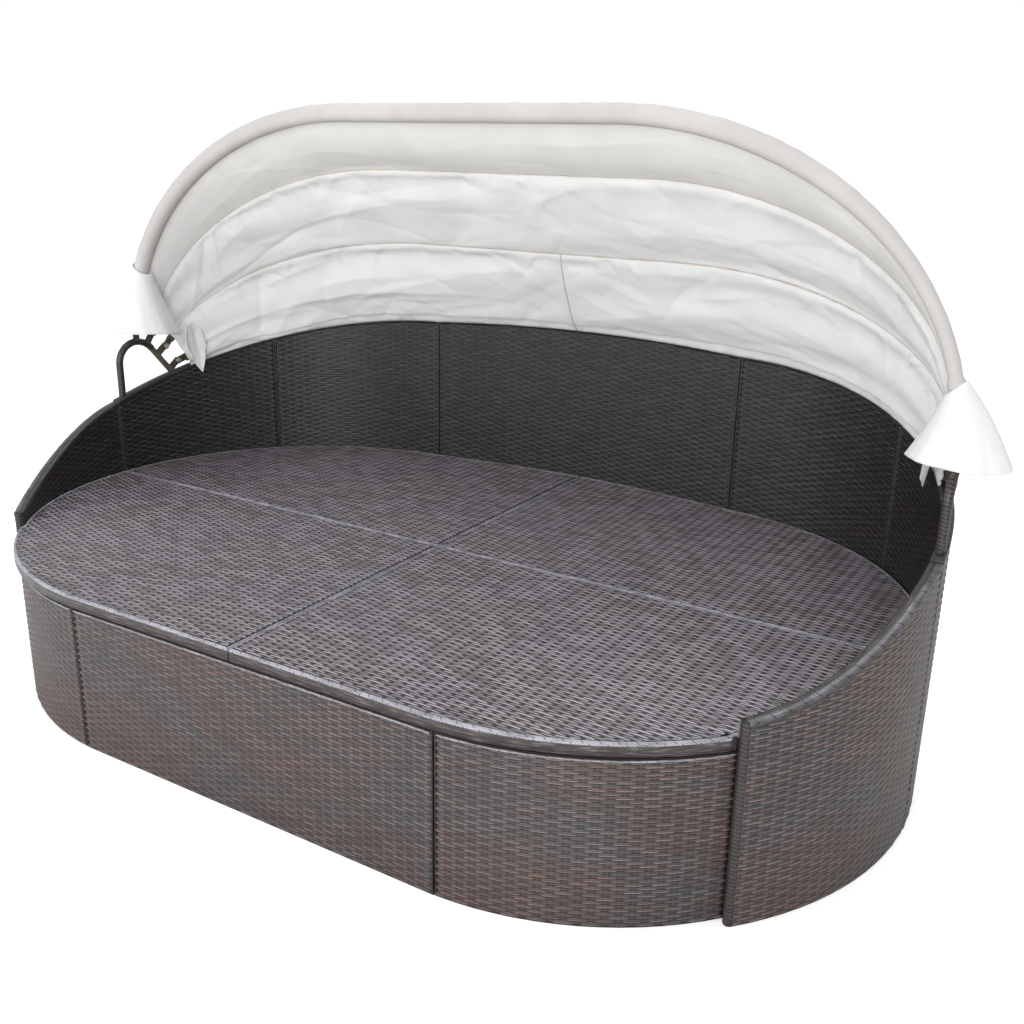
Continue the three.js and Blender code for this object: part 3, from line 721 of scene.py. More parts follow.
def edging(name, line, across, up, section, material, closed=False, notch=notch_depth):
    """A closed section swept along a line. across and up are the section's axes at each point."""
    section = np.asarray(section, float)
    rows, columns = len(line) - 1, len(section)
    mesh, column, row = bent_grid(name, columns, rows)
    around = column % columns
    run = distances(line)[row]
    share = column / columns
    beat = np.abs((run / stitch_pitch + notch_slant * share * 2) % 1.0 - 0.5) * 2
    pinch = 1.0 - notch * np.clip(1 - beat / (2 * notch_half_share), 0, 1) / np.abs(section).max()
    a = section[around, 0] * pinch
    b = section[around, 1] * pinch
    set_uv(mesh, "wrap", share, run / stitch_pitch)
    set_points(mesh, line[row] + across[row] * a[:, None] + up[row] * b[:, None])
    close_mesh(mesh, not closed)
    show_woven(name, mesh, material)


def rounded_section(half_width, low, high, corner, steps=2):
    """A rectangle with round corners, anticlockwise, in (across, up)."""
    points = []
    for turn, (cx, cy) in enumerate([
        (half_width - corner, high - corner), (-half_width + corner, high - corner),
        (-half_width + corner, low + corner), (half_width - corner, low + corner),
    ]):
        for k in range(steps + 1):
            angle = math.pi / 2 * (turn + k / steps)
            points.append((cx + corner * math.cos(angle), cy + corner * math.sin(angle)))
    return points


# %% [markdown]
# ## The finish of the wrapped edges
# The edge strips are the same material as the weave, but wound, so a cut shows between two turns, darkened
# as painted shade, and crossing stitches show on top. The graph reads the wrap UV map, which runs once round
# the section along u and counts stitches along v. Some edges also have a darker strip on their side, at a
# span of u.

# %% Finish of the wrapped edges
marks_per_turn = 4.0
marks_lean = 8.0
mark_tone = tone(0.035, 0.030, 0.032)
side_blur = 0.01
wrap_grain = 0.0003


def wrap_finish(name, base_tone, other_tone, light_tone, slit_shade=0.5, side_tone=None, side_span=(0.0, 1.0),
                marks=0.0):
    """slit_shade is how dark the painted shade in the cuts between turns is, and marks how dark the crossing
    stitches are. side_tone covers a span of the section, for an edge whose side is another strip."""
    finish = Finish(name)
    around, along = finish.uv("wrap")
    streak = finish.noise(finish.combine(around * 60.0, along * 0.8), 1.0, 3.0, 0.6)
    turns = along + around * (2 * notch_slant)
    base = finish.mix(finish.turn_chance(turns.floor()).ramp(0.1, 0.9), base_tone, other_tone)
    base = finish.mix(streak.ramp(0.5, 0.75, 0.0, 0.5), base, light_tone)
    # Painted shade in the cut between two turns.
    slit_shade_mask = abs(turns.fract() - 0.5).ramp(0.02, 0.06, 1.0, 0.0)
    base = finish.mix(slit_shade_mask * slit_shade, base, slit_shade_tone)
    if marks:
        slant = along * marks_per_turn + around * marks_lean
        mark = abs(slant.fract() - 0.5).ramp(0.30, 0.45)
        patchy = finish.noise(finish.combine(along, 0.0), 0.35, 2.0).ramp(0.42, 0.62, 0.15, 1.0)
        base = finish.mix(mark * patchy * marks, base, mark_tone)
    if side_tone:
        start, end = side_span
        side = finish.mix(streak.ramp(0.45, 0.80, 0.0, 0.25), side_tone, light_tone)
        on_side = around.ramp(start - side_blur, start + side_blur) * around.ramp(end + 2 * side_blur, end)
        base = finish.mix(on_side, base, side)
    finish.set(Base_Color=base, Roughness=0.36)
    finish.bump(streak, wrap_grain, 0.6)
    return finish.material


dark_wrap = wrap_finish(
    "dark_wrap", tone(0.019, 0.019, 0.023), tone(0.025, 0.024, 0.028), tone(0.08, 0.08, 0.09))
# The rim strip is pale blue-grey, and its top tones are raised further as painted sheen on the lip.
rim_wrap_with_painted_sheen = wrap_finish(
    "rim_wrap_with_painted_sheen", tone(0.37, 0.36, 0.41), tone(0.22, 0.22, 0.25), tone(0.68, 0.67, 0.76), 0.7,
    tone(0.036, 0.028, 0.025), (0.78, 0.915), 0.85)
side_wrap = wrap_finish(
    "side_wrap", tone(0.012, 0.010, 0.010), tone(0.017, 0.014, 0.013), tone(0.05, 0.045, 0.045))
wing_wrap = wrap_finish(
    "wing_wrap", tone(0.115, 0.110, 0.130), tone(0.065, 0.062, 0.073), tone(0.34, 0.33, 0.38), 0.95,
    tone(0.026, 0.021, 0.020), (0.20, 0.98), 0.5)
bead_wrap = wrap_finish(
    "bead_wrap", tone(0.40, 0.39, 0.43), tone(0.22, 0.21, 0.23), tone(0.66, 0.64, 0.69), 0.8, marks=0.8)

# %% [markdown]
# ## Edges on the walls and wings
# The top edge is a little wider than the panel and follows the wall's slope. A bevelled curve would do as
# well, but a swept grid keeps the section square to the slope and carries the UV map of the stitches.

# %% Wrapped edge on top of the walls and wings
top_half_width = panel_thickness / 2 + 0.0028
top_drop = 0.009
top_rise = 0.0030
top_corner = 0.004
top_section = rounded_section(top_half_width, -top_drop, top_rise, top_corner)


def top_edging(name, path, top, material):
    count = max(3, round(path.length / edging_step))
    run = np.linspace(0.0, path.length, count)
    x, y, nx, ny = path.at(run)
    line = xyz(x, y, top(y))
    across = xyz(nx, ny, 0.0)
    up = np.cross(across, unit(np.gradient(line, axis=0)))
    up *= np.sign(up[:, 2])[:, None]
    edging(name, line, across, up, top_section, material)


for name, top, path in wall_parts(panel_thickness / 2):
    top_edging(f"{name}_edging", path, top, wing_wrap if top is wing_top else dark_wrap)

# %% Upright trims at the ends of the panels
trim_width = 0.0032
skirt_trim_width = 0.0023
trim_proud = 0.0024
trim_over_top = 0.002
trim_rounding = 0.6
trim_steps = 60
seam_close = 0.0013
skirt_seam_close = 0.0004


def end_trims(name, path, top, reach=seam_close, material=dark_wrap, ends=(0, 1), trim=trim_width):
    """Wrapped strips round a panel's two upright ends. The path is on the middle of the panel."""
    half, wide = panel_thickness / 2 + trim_proud, (trim + reach) / 2
    for end in ends:
        at = trim / 2 - reach / 2
        x, y, nx, ny = path.at(path.length - at if end else at)
        _, edge_y, _, _ = path.at(path.length if end else 0.0)
        head = float(np.min(top(np.array([y, edge_y])))) + trim_over_top
        heights = np.linspace(skin_foot, head, trim_steps)
        line = xyz(x, y, heights)
        across = np.tile([nx, ny, 0.0], (trim_steps, 1))
        up = np.tile([-ny, nx, 0.0], (trim_steps, 1))
        section = rounded_section(half, -wide, wide, wide * trim_rounding)
        edging(f"{name}_trim_{end + 1}", line, across, up, section, material)


for name, top, path in wall_parts(panel_thickness / 2):
    end_trims(name, path, top, ends=(1,) if top is wing_top else (0, 1))
for name, path in front_parts(panel_thickness / 2):
    end_trims(name, path, skirt_top, skirt_seam_close, side_wrap, trim=skirt_trim_width)

# %% [markdown]
# ## Bead on the front panels
# A pale strip, thin as a cord, is sewn along the top of the front panels, just under the boards. It is an
# edging with a very small section and hardly any notch.

# %% Pale bead along the top of the front panels
bead_radius = 0.0016
bead_corner = 0.0012
bead_proud = 0.0022
bead_drop = 0.0035
bead_margin = 0.004
bead_notch = 0.0002
bead_section = rounded_section(bead_radius, -bead_radius, bead_radius, bead_corner)


for name, path in front_parts():
    count = max(3, round(path.length / edging_step))
    x, y, nx, ny = path.at(np.linspace(bead_margin, path.length - bead_margin, count))
    line = xyz(x + bead_proud * nx, y + bead_proud * ny, skirt_height - bead_drop)
    edging(f"{name}_bead", line, xyz(nx, ny, 0.0), upward(count), bead_section, bead_wrap, notch=bead_notch)

# %% [markdown]
# ## Wound tubes
# The round nose of each wing and the bent canopy brackets are tubes with a strip wound closely round them.
# Seen from near by, their outline is scalloped, which a bump map can't give, so the radius of a rolled
# grid rises and falls with the turns.

# %% Tubes wound with a strip
wind_pitch = 0.0065
wind_relief = 0.0006
wind_steps = 4
not_along = [0.9, 0.1, 0.02]


def wound_finish(name, base_tone, other_tone, light_tone):
    finish = Finish(name)
    around, along = finish.uv("wrap")
    turns = along + around
    beat = turns.fract()
    base = finish.mix(finish.turn_chance(turns.floor()), base_tone, other_tone)
    # Painted highlight on the crest of each turn.
    crest_highlight = beat.ramp(0.25, 0.5) * beat.ramp(0.75, 0.5)
    base = finish.mix(crest_highlight * 0.5, base, light_tone)
    # Painted shade in the gap between two turns.
    gap = finish.math("MINIMUM", beat.ramp(0.0, 0.14), beat.ramp(1.0, 0.86))
    base = finish.mix(gap, gap_shade_tone, base)
    finish.set(Base_Color=base, Roughness=0.35)
    return finish.material


def wound_tube(name, line, radius, material, sides=14):
    """A strip wound closely round a tube that follows a line of points."""
    line = np.asarray(line, float)
    run = distances(line)
    rows = round(run[-1] / wind_pitch * wind_steps)
    even = np.linspace(0, run[-1], rows + 1)
    centre = np.stack([np.interp(even, run, line[:, k]) for k in range(3)], axis=1)
    along = unit(np.gradient(centre, axis=0))
    across = unit(np.cross(along, not_along))
    other = np.cross(along, across)
    mesh, column, row = bent_grid(name, sides, rows)
    share = column / sides
    turns = even[row] / wind_pitch + share
    reach = radius + wind_relief * np.sqrt(np.abs(np.sin(np.pi * turns)))
    angle = 2 * np.pi * share
    points = (centre[row] + across[row] * (reach * np.cos(angle))[:, None]
              + other[row] * (reach * np.sin(angle))[:, None])
    set_uv(mesh, "wrap", share, even[row] / wind_pitch)
    set_points(mesh, points)
    close_mesh(mesh)
    show_woven(name, mesh, material)


nose_wind = wound_finish(
    "nose_wind", tone(0.022, 0.018, 0.018), tone(0.034, 0.029, 0.029), tone(0.08, 0.07, 0.07))
bracket_wind = wound_finish(
    "bracket_wind", tone(0.020, 0.016, 0.016), tone(0.036, 0.028, 0.026), tone(0.10, 0.09, 0.09))

# %% Round noses of the wings
nose_strip = 0.0006
for side_name, side in sides.items():
    nose_x = side * (end_centre_x + wall_middle_radius * math.cos(wing_front_angle))
    nose_y = seat_line_y + wall_middle_radius * math.sin(wing_front_angle)
    nose = [(nose_x, nose_y, skin_foot), (nose_x, nose_y, wing_front_height + top_rise)]
    wound_tube(f"{side_name}_wing_nose", nose, nose_radius + nose_strip, nose_wind)

# %% Wrapped parts of the canopy brackets
bracket_post_y = 0.022
bracket_arch_y = 0.072
bracket_arch_z = 0.570
bracket_arch_radius = 0.050
bracket_leg_angle = 53
bracket_tube_radius = 0.0075
bracket_strip = 0.0004
for side_name, side in sides.items():
    turns = np.radians(np.linspace(180, 90 - bracket_leg_angle, 40))
    arch_y = bracket_arch_y + bracket_arch_radius * np.cos(turns)
    arch_z = bracket_arch_z + bracket_arch_radius * np.sin(turns)
    foot_z = wall_top(seat_line_y + bracket_post_y) + top_rise
    y = np.concatenate([[bracket_post_y], arch_y])
    z = np.concatenate([[foot_z], arch_z])
    x = side * (end_centre_x + np.sqrt(wall_middle_radius**2 - y**2))
    line = xyz(x, seat_line_y + y, z)
    wound_tube(f"{side_name}_bracket_wrap", line, bracket_tube_radius + bracket_strip, bracket_wind)

# %% [markdown]
# ## Rims of the deck boards
# A pale strip is laid over each board's edge. It covers the side of the board, rounds its top edge and
# ends in a lip on the weave, which is narrower at the seams between two boards. Its line is the board's
# own outline, so it closes on itself.

# %% Wrapped rim round the deck boards
rim_lift = 0.0020
rim_out = 0.0014
rim_notch = 0.0003
lip_width = 0.0048
lip_turn = 0.002
seam_lip_share = 0.58
rim_round = 0.0012
rim_crown = 0.0035
rim_inside = 0.004
rim_wall = 0.003
rim_foot = 0.002
board_drop = deck_under - deck_top
rim_section = [
    (rim_out * 0.4, -rim_lift * 0.4), (-rim_round, rim_lift * 0.8), (-rim_crown, rim_lift),
    (-lip_width, rim_lift * 0.7), (-lip_width - lip_turn, 0.0), (-lip_width - lip_turn, -lip_turn),
    (-rim_inside, -rim_wall), (-rim_foot, board_drop + rim_foot / 2), (rim_out, board_drop),
    (rim_out, -rim_inside),
]


def board_rim(name, outline, side):
    """The wrapped rim of a board: its outer face, its rounded top edge and a lip, narrow along the seams."""
    loop, inner = outline(0.0), outline(board_edge + lip_turn)
    loop = np.concatenate([loop, loop[:1]])
    inner = np.concatenate([inner, inner[:1]])
    run = distances(loop)
    even = np.linspace(0, run[-1], round(run[-1] / edging_step))
    even = np.sort(np.concatenate([even, run[1:2], run[2:3]]))
    x, y = np.interp(even, run, loop[:, 0]), np.interp(even, run, loop[:, 1])
    toward_x, toward_y = x - np.interp(even, run, inner[:, 0]), y - np.interp(even, run, inner[:, 1])
    line = xyz(side * x, seat_line_y + y, deck_top)
    at_seam = (x < board_gap) | (np.abs(y) < board_gap)
    narrow = np.where(at_seam, seam_lip_share, 1.0)[:, None]
    across = unit(xyz(side * toward_x, toward_y, 0.0)) * narrow
    edging(name, line, across, upward(len(x)), rim_section, rim_wrap_with_painted_sheen, closed=True, notch=rim_notch)


for side_name, side in sides.items():
    for part, outline in board_outlines.items():
        board_rim(f"{side_name}_{part}_rim", outline, side)
print("edges wrapped")

# %% [markdown]
# ## Painted tubes, bolts and feet
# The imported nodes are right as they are, so they only get their finishes.

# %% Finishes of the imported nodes
paint_grain = 0.0002


def plain_finish(name, first, second, roughness, metal=0.0, scale=60.0):
    finish = Finish(name)
    grain = finish.noise(finish.place(), scale, 4.0, 0.6)
    finish.set(
        Base_Color=finish.mix(grain.ramp(0.35, 0.7), first, second),
        Roughness=grain.ramp(0.3, 0.7, roughness, roughness + 0.12),
    )
    finish.shader.inputs["Metallic"].default_value = metal
    finish.bump(grain, paint_grain, 0.3)
    return finish.material


tube_paint = plain_finish("tube_paint", tone(0.070, 0.058, 0.042), tone(0.10, 0.088, 0.066), 0.38)
steel = plain_finish("steel", tone(0.55, 0.50, 0.38), tone(0.68, 0.63, 0.50), 0.28, 0.9, 200.0)
rubber = plain_finish("rubber", tone(0.018, 0.018, 0.018), tone(0.03, 0.03, 0.03), 0.6)
# Near black: the panels' solid cores show only in the gaps and seams between skins, where this tone is
# painted shade.
core_painted_shade = plain_finish("core_painted_shade", tone(0.016, 0.013, 0.012), tone(0.026, 0.021, 0.019), 0.55)
finish_words = [
    (steel, ("bolt",)), (rubber, ("foot",)), (tube_paint, ("frame", "plate", "joist", "beam", "leg")),
    (core_painted_shade, ("panel", "wing", "board")),
]
for name, obj in nodes.items():
    if name.startswith("canopy_") and name.endswith("panel"):
        continue
    found = [finish for finish, words in finish_words if any(word in name for word in words)]
    obj.data.materials.clear()
    obj.data.materials.append(found[0] if found else tube_paint)

# %% [markdown]
# ## The bows' lines
# Each bow lies in a plane through its two bolts: two quarter ellipses and a straight middle. The pivots come
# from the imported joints. The cloth is stretched between these lines.

# %% Bow lines
bow_radius = 0.010
joints = {joint["name"]: joint for joint in frame["joints"]}
bow_sizes = {
    "front_bow": ("front_bow_fold", 0.305, 0.495, 87.5),
    "second_bow": ("second_bow_fold", 0.300, 0.419, 72.0),
    "third_bow": ("third_bow_fold", 0.312, 0.371, 46.0),
}
bolt_to_foot = 0.011
panel_starts = {"front_bow": 0.140, "second_bow": 0.045, "third_bow": 0.028, "rear_bow": 0.028}
rear_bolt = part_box("right_rear_bow_bolt")
rear_lug_y = (rear_bolt[0].y + rear_bolt[1].y) / 2 - seat_line_y
rear_lug_z = (rear_bolt[0].z + rear_bolt[1].z) / 2
rear_foot_x = rear_bolt[1].x - bolt_to_foot
wall_tilt = math.atan(wall_slope)
rear_back_y = back_seam_y + centre_bulge + panel_thickness / 2
rear_top_z = wall_top(seat_line_y + rear_back_y) + bow_radius / math.cos(wall_tilt)
rear_slope = (rear_top_z - rear_lug_z) / (rear_back_y - rear_lug_y)
rear_tilt = math.atan(rear_slope)
tangent_step = 0.002


def step_along(curve, share):
    """A short step along a curve, at shares of its length."""
    return curve(np.clip(share + tangent_step, 0, 1)) - curve(np.clip(share - tangent_step, 0, 1))


class BowLine:
    """The middle line of a bow, from its right foot to its left one, as points at shares of its length."""

    def __init__(self, node, start=0.0):
        joint, self.half_straight, self.height, angle = bow_sizes[node]
        pivot = joints[joint]["pos_m"]
        self.pivot = np.array(pivot)
        self.up = np.array([0.0, math.cos(math.radians(angle)), math.sin(math.radians(angle))])
        self.half_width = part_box(f"right_{node}_bolt")[1].x - bolt_to_foot
        self.normal = np.cross([1.0, 0, 0], self.up)
        self.start = math.asin(start / self.height)

    def at(self, share):
        share = np.asarray(share, float)
        reach = self.half_width - self.half_straight
        quarter = (math.pi / 2 - self.start) * math.sqrt((reach**2 + self.height**2) / 2)
        run = np.abs(share - 0.5) * 2 * (quarter + self.half_straight)
        turn = np.clip((run - self.half_straight) / quarter, 0, 1) * (math.pi / 2 - self.start)
        x = np.where(run > self.half_straight, self.half_straight + reach * np.sin(turn), run)
        rise = self.height * np.cos(turn)
        side = np.where(share < 0.5, 1.0, -1.0)
        y, z = (self.pivot[k] + self.up[k] * rise for k in (1, 2))
        return xyz(side * x, y, z)

    def frame(self, share):
        """Directions along the bow, and outward from it in its plane."""
        along = unit(step_along(self.at, share))
        return along, np.cross(along, self.normal)


class RearLine:
    """The rear bow's middle line: it lies on the wall and follows its plan."""

    def __init__(self, start):
        self.radius = math.hypot(rear_foot_x - end_centre_x, rear_lug_y)
        self.start = math.asin((rear_lug_y + start * math.cos(rear_tilt)) / self.radius)

    def at(self, share):
        share = np.asarray(share, float)
        end_y = self.radius * math.sin(back_seam_angle)
        end_x = end_centre_x + self.radius * math.cos(back_seam_angle)
        quarter = self.radius * (back_seam_angle - self.start)
        run = np.abs(share - 0.5) * 2 * (quarter + end_x)
        angle = back_seam_angle - np.clip(run - end_x, 0, None) / self.radius
        middle_y = end_y + (rear_back_y - end_y) * (1 - (run / end_x) ** 2)
        x = np.where(run > end_x, end_centre_x + self.radius * np.cos(angle), run)
        y = np.where(run > end_x, self.radius * np.sin(angle), middle_y)
        side = np.where(share < 0.5, 1.0, -1.0)
        z = rear_lug_z + rear_slope * (y - rear_lug_y)
        return xyz(side * x, seat_line_y + y, z)

    def frame(self, share):
        """Directions along the bow, and outward from it in plan."""
        along = unit(step_along(self.at, share))
        return along, -unit(np.cross([0.0, 0, 1.0], along))


front_line = BowLine("front_bow", panel_starts["front_bow"])
second_line = BowLine("second_bow", panel_starts["second_bow"])
third_line = BowLine("third_bow", panel_starts["third_bow"])
rear_line = RearLine(panel_starts["rear_bow"])
print("front bow top", front_line.at(0.5), "rear bow middle", rear_line.at(0.5))

# %% [markdown]
# ## Cloth
# The canopy is one run of cloth: a thick sleeve on the front bow, pockets for the next two, and a hem round
# the rear one. Seen from the seat, the pockets lie behind the cloth, and only their seams show, with small
# puckers below them. Each panel is a bent grid with creases of its own, given its thickness at the end.

# %% Cloth finish
seam_thread = tone(0.82, 0.71, 0.62)
thread_shade = tone(0.50, 0.46, 0.44)
sewn_half_width = 0.0008
seam_half_width = 0.004
cloth_grain = 0.004


def cloth_finish(name, first, second, through_share, seams=False, sewn_at=None):
    """through_share is how much light comes through. sewn_at gives both ends of a seam across the panel."""
    finish = Finish(name)
    place = finish.place()
    mottle = finish.noise(place, 9.0, 3.0, 0.55)
    weave = finish.noise(place, 900.0, 1.0, 0.5)
    crease = finish.noise(place, 11.0, 3.0, 0.5, noise_type="RIDGED_MULTIFRACTAL", normalize=True)
    base = finish.mix(mottle.ramp(0.35, 0.68), first, second)
    if seams:
        across, along = finish.uv("cloth")
        line = abs(along - 0.5).ramp(seam_share, seam_share + seam_half_width)
        blotch = finish.noise(place, 24.0, 2.0).ramp(0.35, 0.65, 0.35, 1.0)
        base = finish.mix(line * blotch, base, seam_thread)
    if sewn_at:
        off = abs(across - (along * (sewn_at[1] - sewn_at[0]) + sewn_at[0]))
        sewn = off.ramp(sewn_half_width, sewn_half_width / 2, 0.0, 0.8)
        base = finish.mix(sewn, base, thread_shade)
        base = finish.mix(abs(along - hem_share).ramp(0.012, 0.004, 0.0, 0.7), base, seam_thread)
    finish.set(Base_Color=base, Roughness=0.92)
    finish.shader.inputs["Specular IOR Level"].default_value = 0.2
    finish.bump(weave * 0.08 + crease, cloth_grain, 0.30)
    through = finish.node("ShaderNodeBsdfTranslucent", {"Color": base})
    both = finish.node("ShaderNodeMixShader", {"Fac": through_share})
    finish.put(both.inputs[1], finish.shader.outputs[0])
    finish.put(both.inputs[2], through.outputs[0])
    finish.put(finish.tree.nodes["Material Output"].inputs["Surface"], both.outputs[0])
    return finish.material


seam_share = 0.492
hem_share = 0.885
sewn_line = (0.4795, 0.511)
warm_cloth = cloth_finish(
    "warm_cloth", tone(0.85, 0.84, 0.825), tone(0.89, 0.88, 0.865), 0.33, seams=True)
canopy_cloth = cloth_finish(
    "canopy_cloth", tone(0.89, 0.89, 0.885), tone(0.935, 0.935, 0.93), 0.33, seams=True)
# The same cloth as the other panels, made lighter as painted light for the light the rear panel lacks from
# the front.
rear_cloth_painted_light = cloth_finish(
    "rear_cloth_painted_light", tone(0.93, 0.93, 0.93), tone(0.96, 0.96, 0.96), 0.38, seams=True, sewn_at=sewn_line)
# The same cloth as the panels, made greyer as painted shade of the doubled cloth round the bow.
sleeve_cloth_painted_shade = cloth_finish("sleeve_cloth_painted_shade", tone(0.55, 0.53, 0.52), tone(0.61, 0.59, 0.58), 0.05)
# The same cloth again, toned down as painted shade so that the lamps don't wash out the flaps and corners.
flap_cloth_painted_shade = cloth_finish("flap_cloth_painted_shade", tone(0.79, 0.79, 0.81), tone(0.84, 0.84, 0.855), 0.05)

# %% [markdown]
# ## Creases and puckers
# The cloth is thin and creases easily: sharp creases cross it, and short folds leave each seam where the
# thread draws it in. Both are sums of narrow ridges at random places. The random numbers start from a
# fixed seed, so that every run gives the same cloth.

# %% Cloth helpers
cloth_thickness = 0.002


def smooth_step(value, low, high):
    t = np.clip((value - low) / (high - low), 0, 1)
    return t * t * (3 - 2 * t)


def cloth_sheet(name, columns, rows, shape, material, thickness=cloth_thickness):
    """A sheet whose points are shape(u, v), with u and v from 0 to 1."""
    mesh, column, row = bent_grid(name, columns, rows)
    u, v = column / columns, row / rows
    set_uv(mesh, "cloth", u, v)
    set_points(mesh, shape(u, v))
    return show(name, mesh, material, thickness, 0.0)


def line_length(points):
    return float(distances(points)[-1])


crease_reach = (0.04, 0.20)
crease_width = (0.008, 0.026)
crease_bend = 0.5
pucker_width = (0.003, 0.009)
pucker_lean = 0.45


def crumple(x, y, seed, count, depth, lean):
    """Sharp creases, each strongest in its middle; lean is how far they stray from the x direction."""
    dice = np.random.default_rng(seed)
    total = np.zeros(x.shape)
    for _ in range(count):
        angle = dice.normal(0.0, lean)
        from_x, from_y = x - dice.uniform(0, x.max()), y - dice.uniform(0, y.max())
        along = from_x * math.cos(angle) + from_y * math.sin(angle)
        across = from_y * math.cos(angle) - from_x * math.sin(angle)
        reach, width = dice.uniform(*crease_reach), dice.uniform(*crease_width)
        bend = dice.normal(0.0, crease_bend) * along**2
        profile = np.exp(-np.abs(across + bend) / width) * np.exp(-((along / reach) ** 2))
        total += dice.choice([-1.0, 1.0]) * dice.uniform(0.4, 1.0) * depth * profile
    return total


def puckers(x, away, seed, pitch, depth, reach):
    """Short folds that leave a seam; x runs along it and away is the distance from it."""
    dice = np.random.default_rng(seed)
    total = np.zeros(x.shape)
    for k in range(round(x.max() / pitch)):
        middle = (k + dice.uniform(0.1, 0.9)) * pitch
        width, length = dice.uniform(*pucker_width), reach * dice.uniform(0.4, 1.8)
        lean = dice.normal(0.0, pucker_lean)
        profile = np.exp(-np.abs(x - middle - lean * away) / width) * np.exp(-away / length)
        total += dice.choice([-1.0, 1.0]) * dice.uniform(0.3, 1.0) * depth * profile
    return total


# %% [markdown]
# ## Canopy panels
# Each panel is stretched between two bows and sags inwards a little. A cloth simulation would need both
# curved edges pinned, and would pull most of the creases flat. So the shape is written down: straight from
# edge to edge, then moved inwards by the sag, and by creases and puckers that fade out at the sewn edges.

# %% Canopy panels
pocket_radius = 0.0112
seam_distance = 0.0126
second_seam_angle = math.radians(30)
third_seam_angle = math.radians(34)
front_edge_distance = 0.012
hem_radius = 0.0125
hem_gap = 0.001
panel_columns = 400
panel_rows = 50
line_steps = 200
canopy_middle = np.array([0.0, 0.10, 0.65])
calm_top, calm_low, calm_edge = 0.10, 0.06, 0.03
sewn_reach = 0.012
sewn_hold = 0.8


def beside(line, other, share, distance, inward_angle=0.0):
    """Points beside a bow, on the side where another bow stands, turned inwards by an angle."""
    along, outward = line.frame(share)
    ahead = other.at(share) - line.at(share)
    ahead = unit(ahead - along * np.sum(ahead * along, axis=1)[:, None])
    inward = np.cross(along, ahead)
    inward *= -np.sign(np.sum(inward * outward, axis=1))[:, None]
    return line.at(share) + distance * (ahead * math.cos(inward_angle) + inward * math.sin(inward_angle))


def hem_edge(share):
    """The lower edge of the rear panel, in front of the rear bow and down on the wall's top."""
    _, outward = rear_line.frame(share)
    points = rear_line.at(share) - outward * (hem_radius + hem_gap)
    points[:, 2] = np.minimum(points[:, 2] - hem_radius / 2, wall_top(points[:, 1]) + hem_gap)
    return points


# %% The shape of a panel
def canopy_panel(top_edge, low_edge, sag, creases, low_puckers, first_angle=0.0, top_puckers=None):
    """The shape of a panel between two edges: it leaves its upper seam at first_angle, bows inwards by sag,
    and carries creases and the puckers of its two seams."""

    def shape(u, v):
        a, b = top_edge(u), low_edge(u)
        span = np.linalg.norm(b - a, axis=1)
        point = a + (b - a) * v[:, None]
        inward = unit(np.cross(step_along(top_edge, u), b - a))
        inward *= np.sign(np.sum(inward * (canopy_middle - point), axis=1))[:, None]
        crown = np.sin(np.pi * np.clip(u, 0, 1)) ** 0.5
        wide = line_length(top_edge(np.linspace(0, 1, line_steps)))
        x, y = u * wide, v * span
        pinned = smooth_step(v, 0, calm_top) * smooth_step(1 - v, 0, calm_low)
        sewn = np.exp(-((u - sewn_line[0] - (sewn_line[1] - sewn_line[0]) * v) / sewn_reach) ** 2)
        pinned *= 1 - sewn_hold * sewn
        depth = np.sin(np.pi * v) * crown * sag + creases(x, y, u, v) * pinned
        if first_angle:
            reach = seam_distance * math.cos(first_angle)
            already = seam_distance * math.sin(first_angle)
            curve = np.sqrt(seam_distance**2 - np.clip(reach - y, 0, reach) ** 2) - already
            depth += curve * (1 - np.clip((y - reach) / (span - reach), 0, 1))
        edge = smooth_step(v, 0, calm_edge) * smooth_step(1 - v, 0, calm_edge)
        if top_puckers:
            depth += puckers(x, y, **top_puckers) * edge
        depth += puckers(x, span - y, **low_puckers) * edge
        return point + inward * depth[:, None]

    return shape


# %% The creases of each panel
front_wave, middle_wave, rear_wave = 0.0012, 0.0025, 0.0035
long_fold_depth = 0.010
hem_step_depth = 0.004


def front_creases(x, y, u, v):
    return front_wave * np.sin(9 * u + 5 * v) + crumple(x, y, seed=3, count=30, depth=0.0018, lean=0.25)


def middle_creases(x, y, u, v):
    fold = middle_wave * np.sin(2 * np.pi * (1.6 * v + 0.35 * np.sin(7 * u)))
    crumpled = crumple(x, y, seed=5, count=110, depth=0.0042, lean=0.50)
    return fold + crumpled * (0.55 + 0.6 * smooth_step(u, 0.4, 0.9))


def rear_creases(x, y, u, v):
    fold = rear_wave * np.sin(2 * np.pi * (1.8 * v + 0.5 * np.sin(5 * u + 1.0)))
    long_fold = long_fold_depth * np.exp(-np.abs(v - 0.62 - 0.10 * np.sin(6 * u)) / 0.10)
    long_fold *= smooth_step(u, 0.50, 0.75)
    hem_step = -hem_step_depth * smooth_step(v, hem_share - 0.01, hem_share + 0.02)
    crumpled = crumple(x, y, seed=8, count=140, depth=0.0055, lean=0.55)
    return fold + long_fold + hem_step + crumpled * (0.6 + 0.6 * smooth_step(u, 0.4, 0.9))


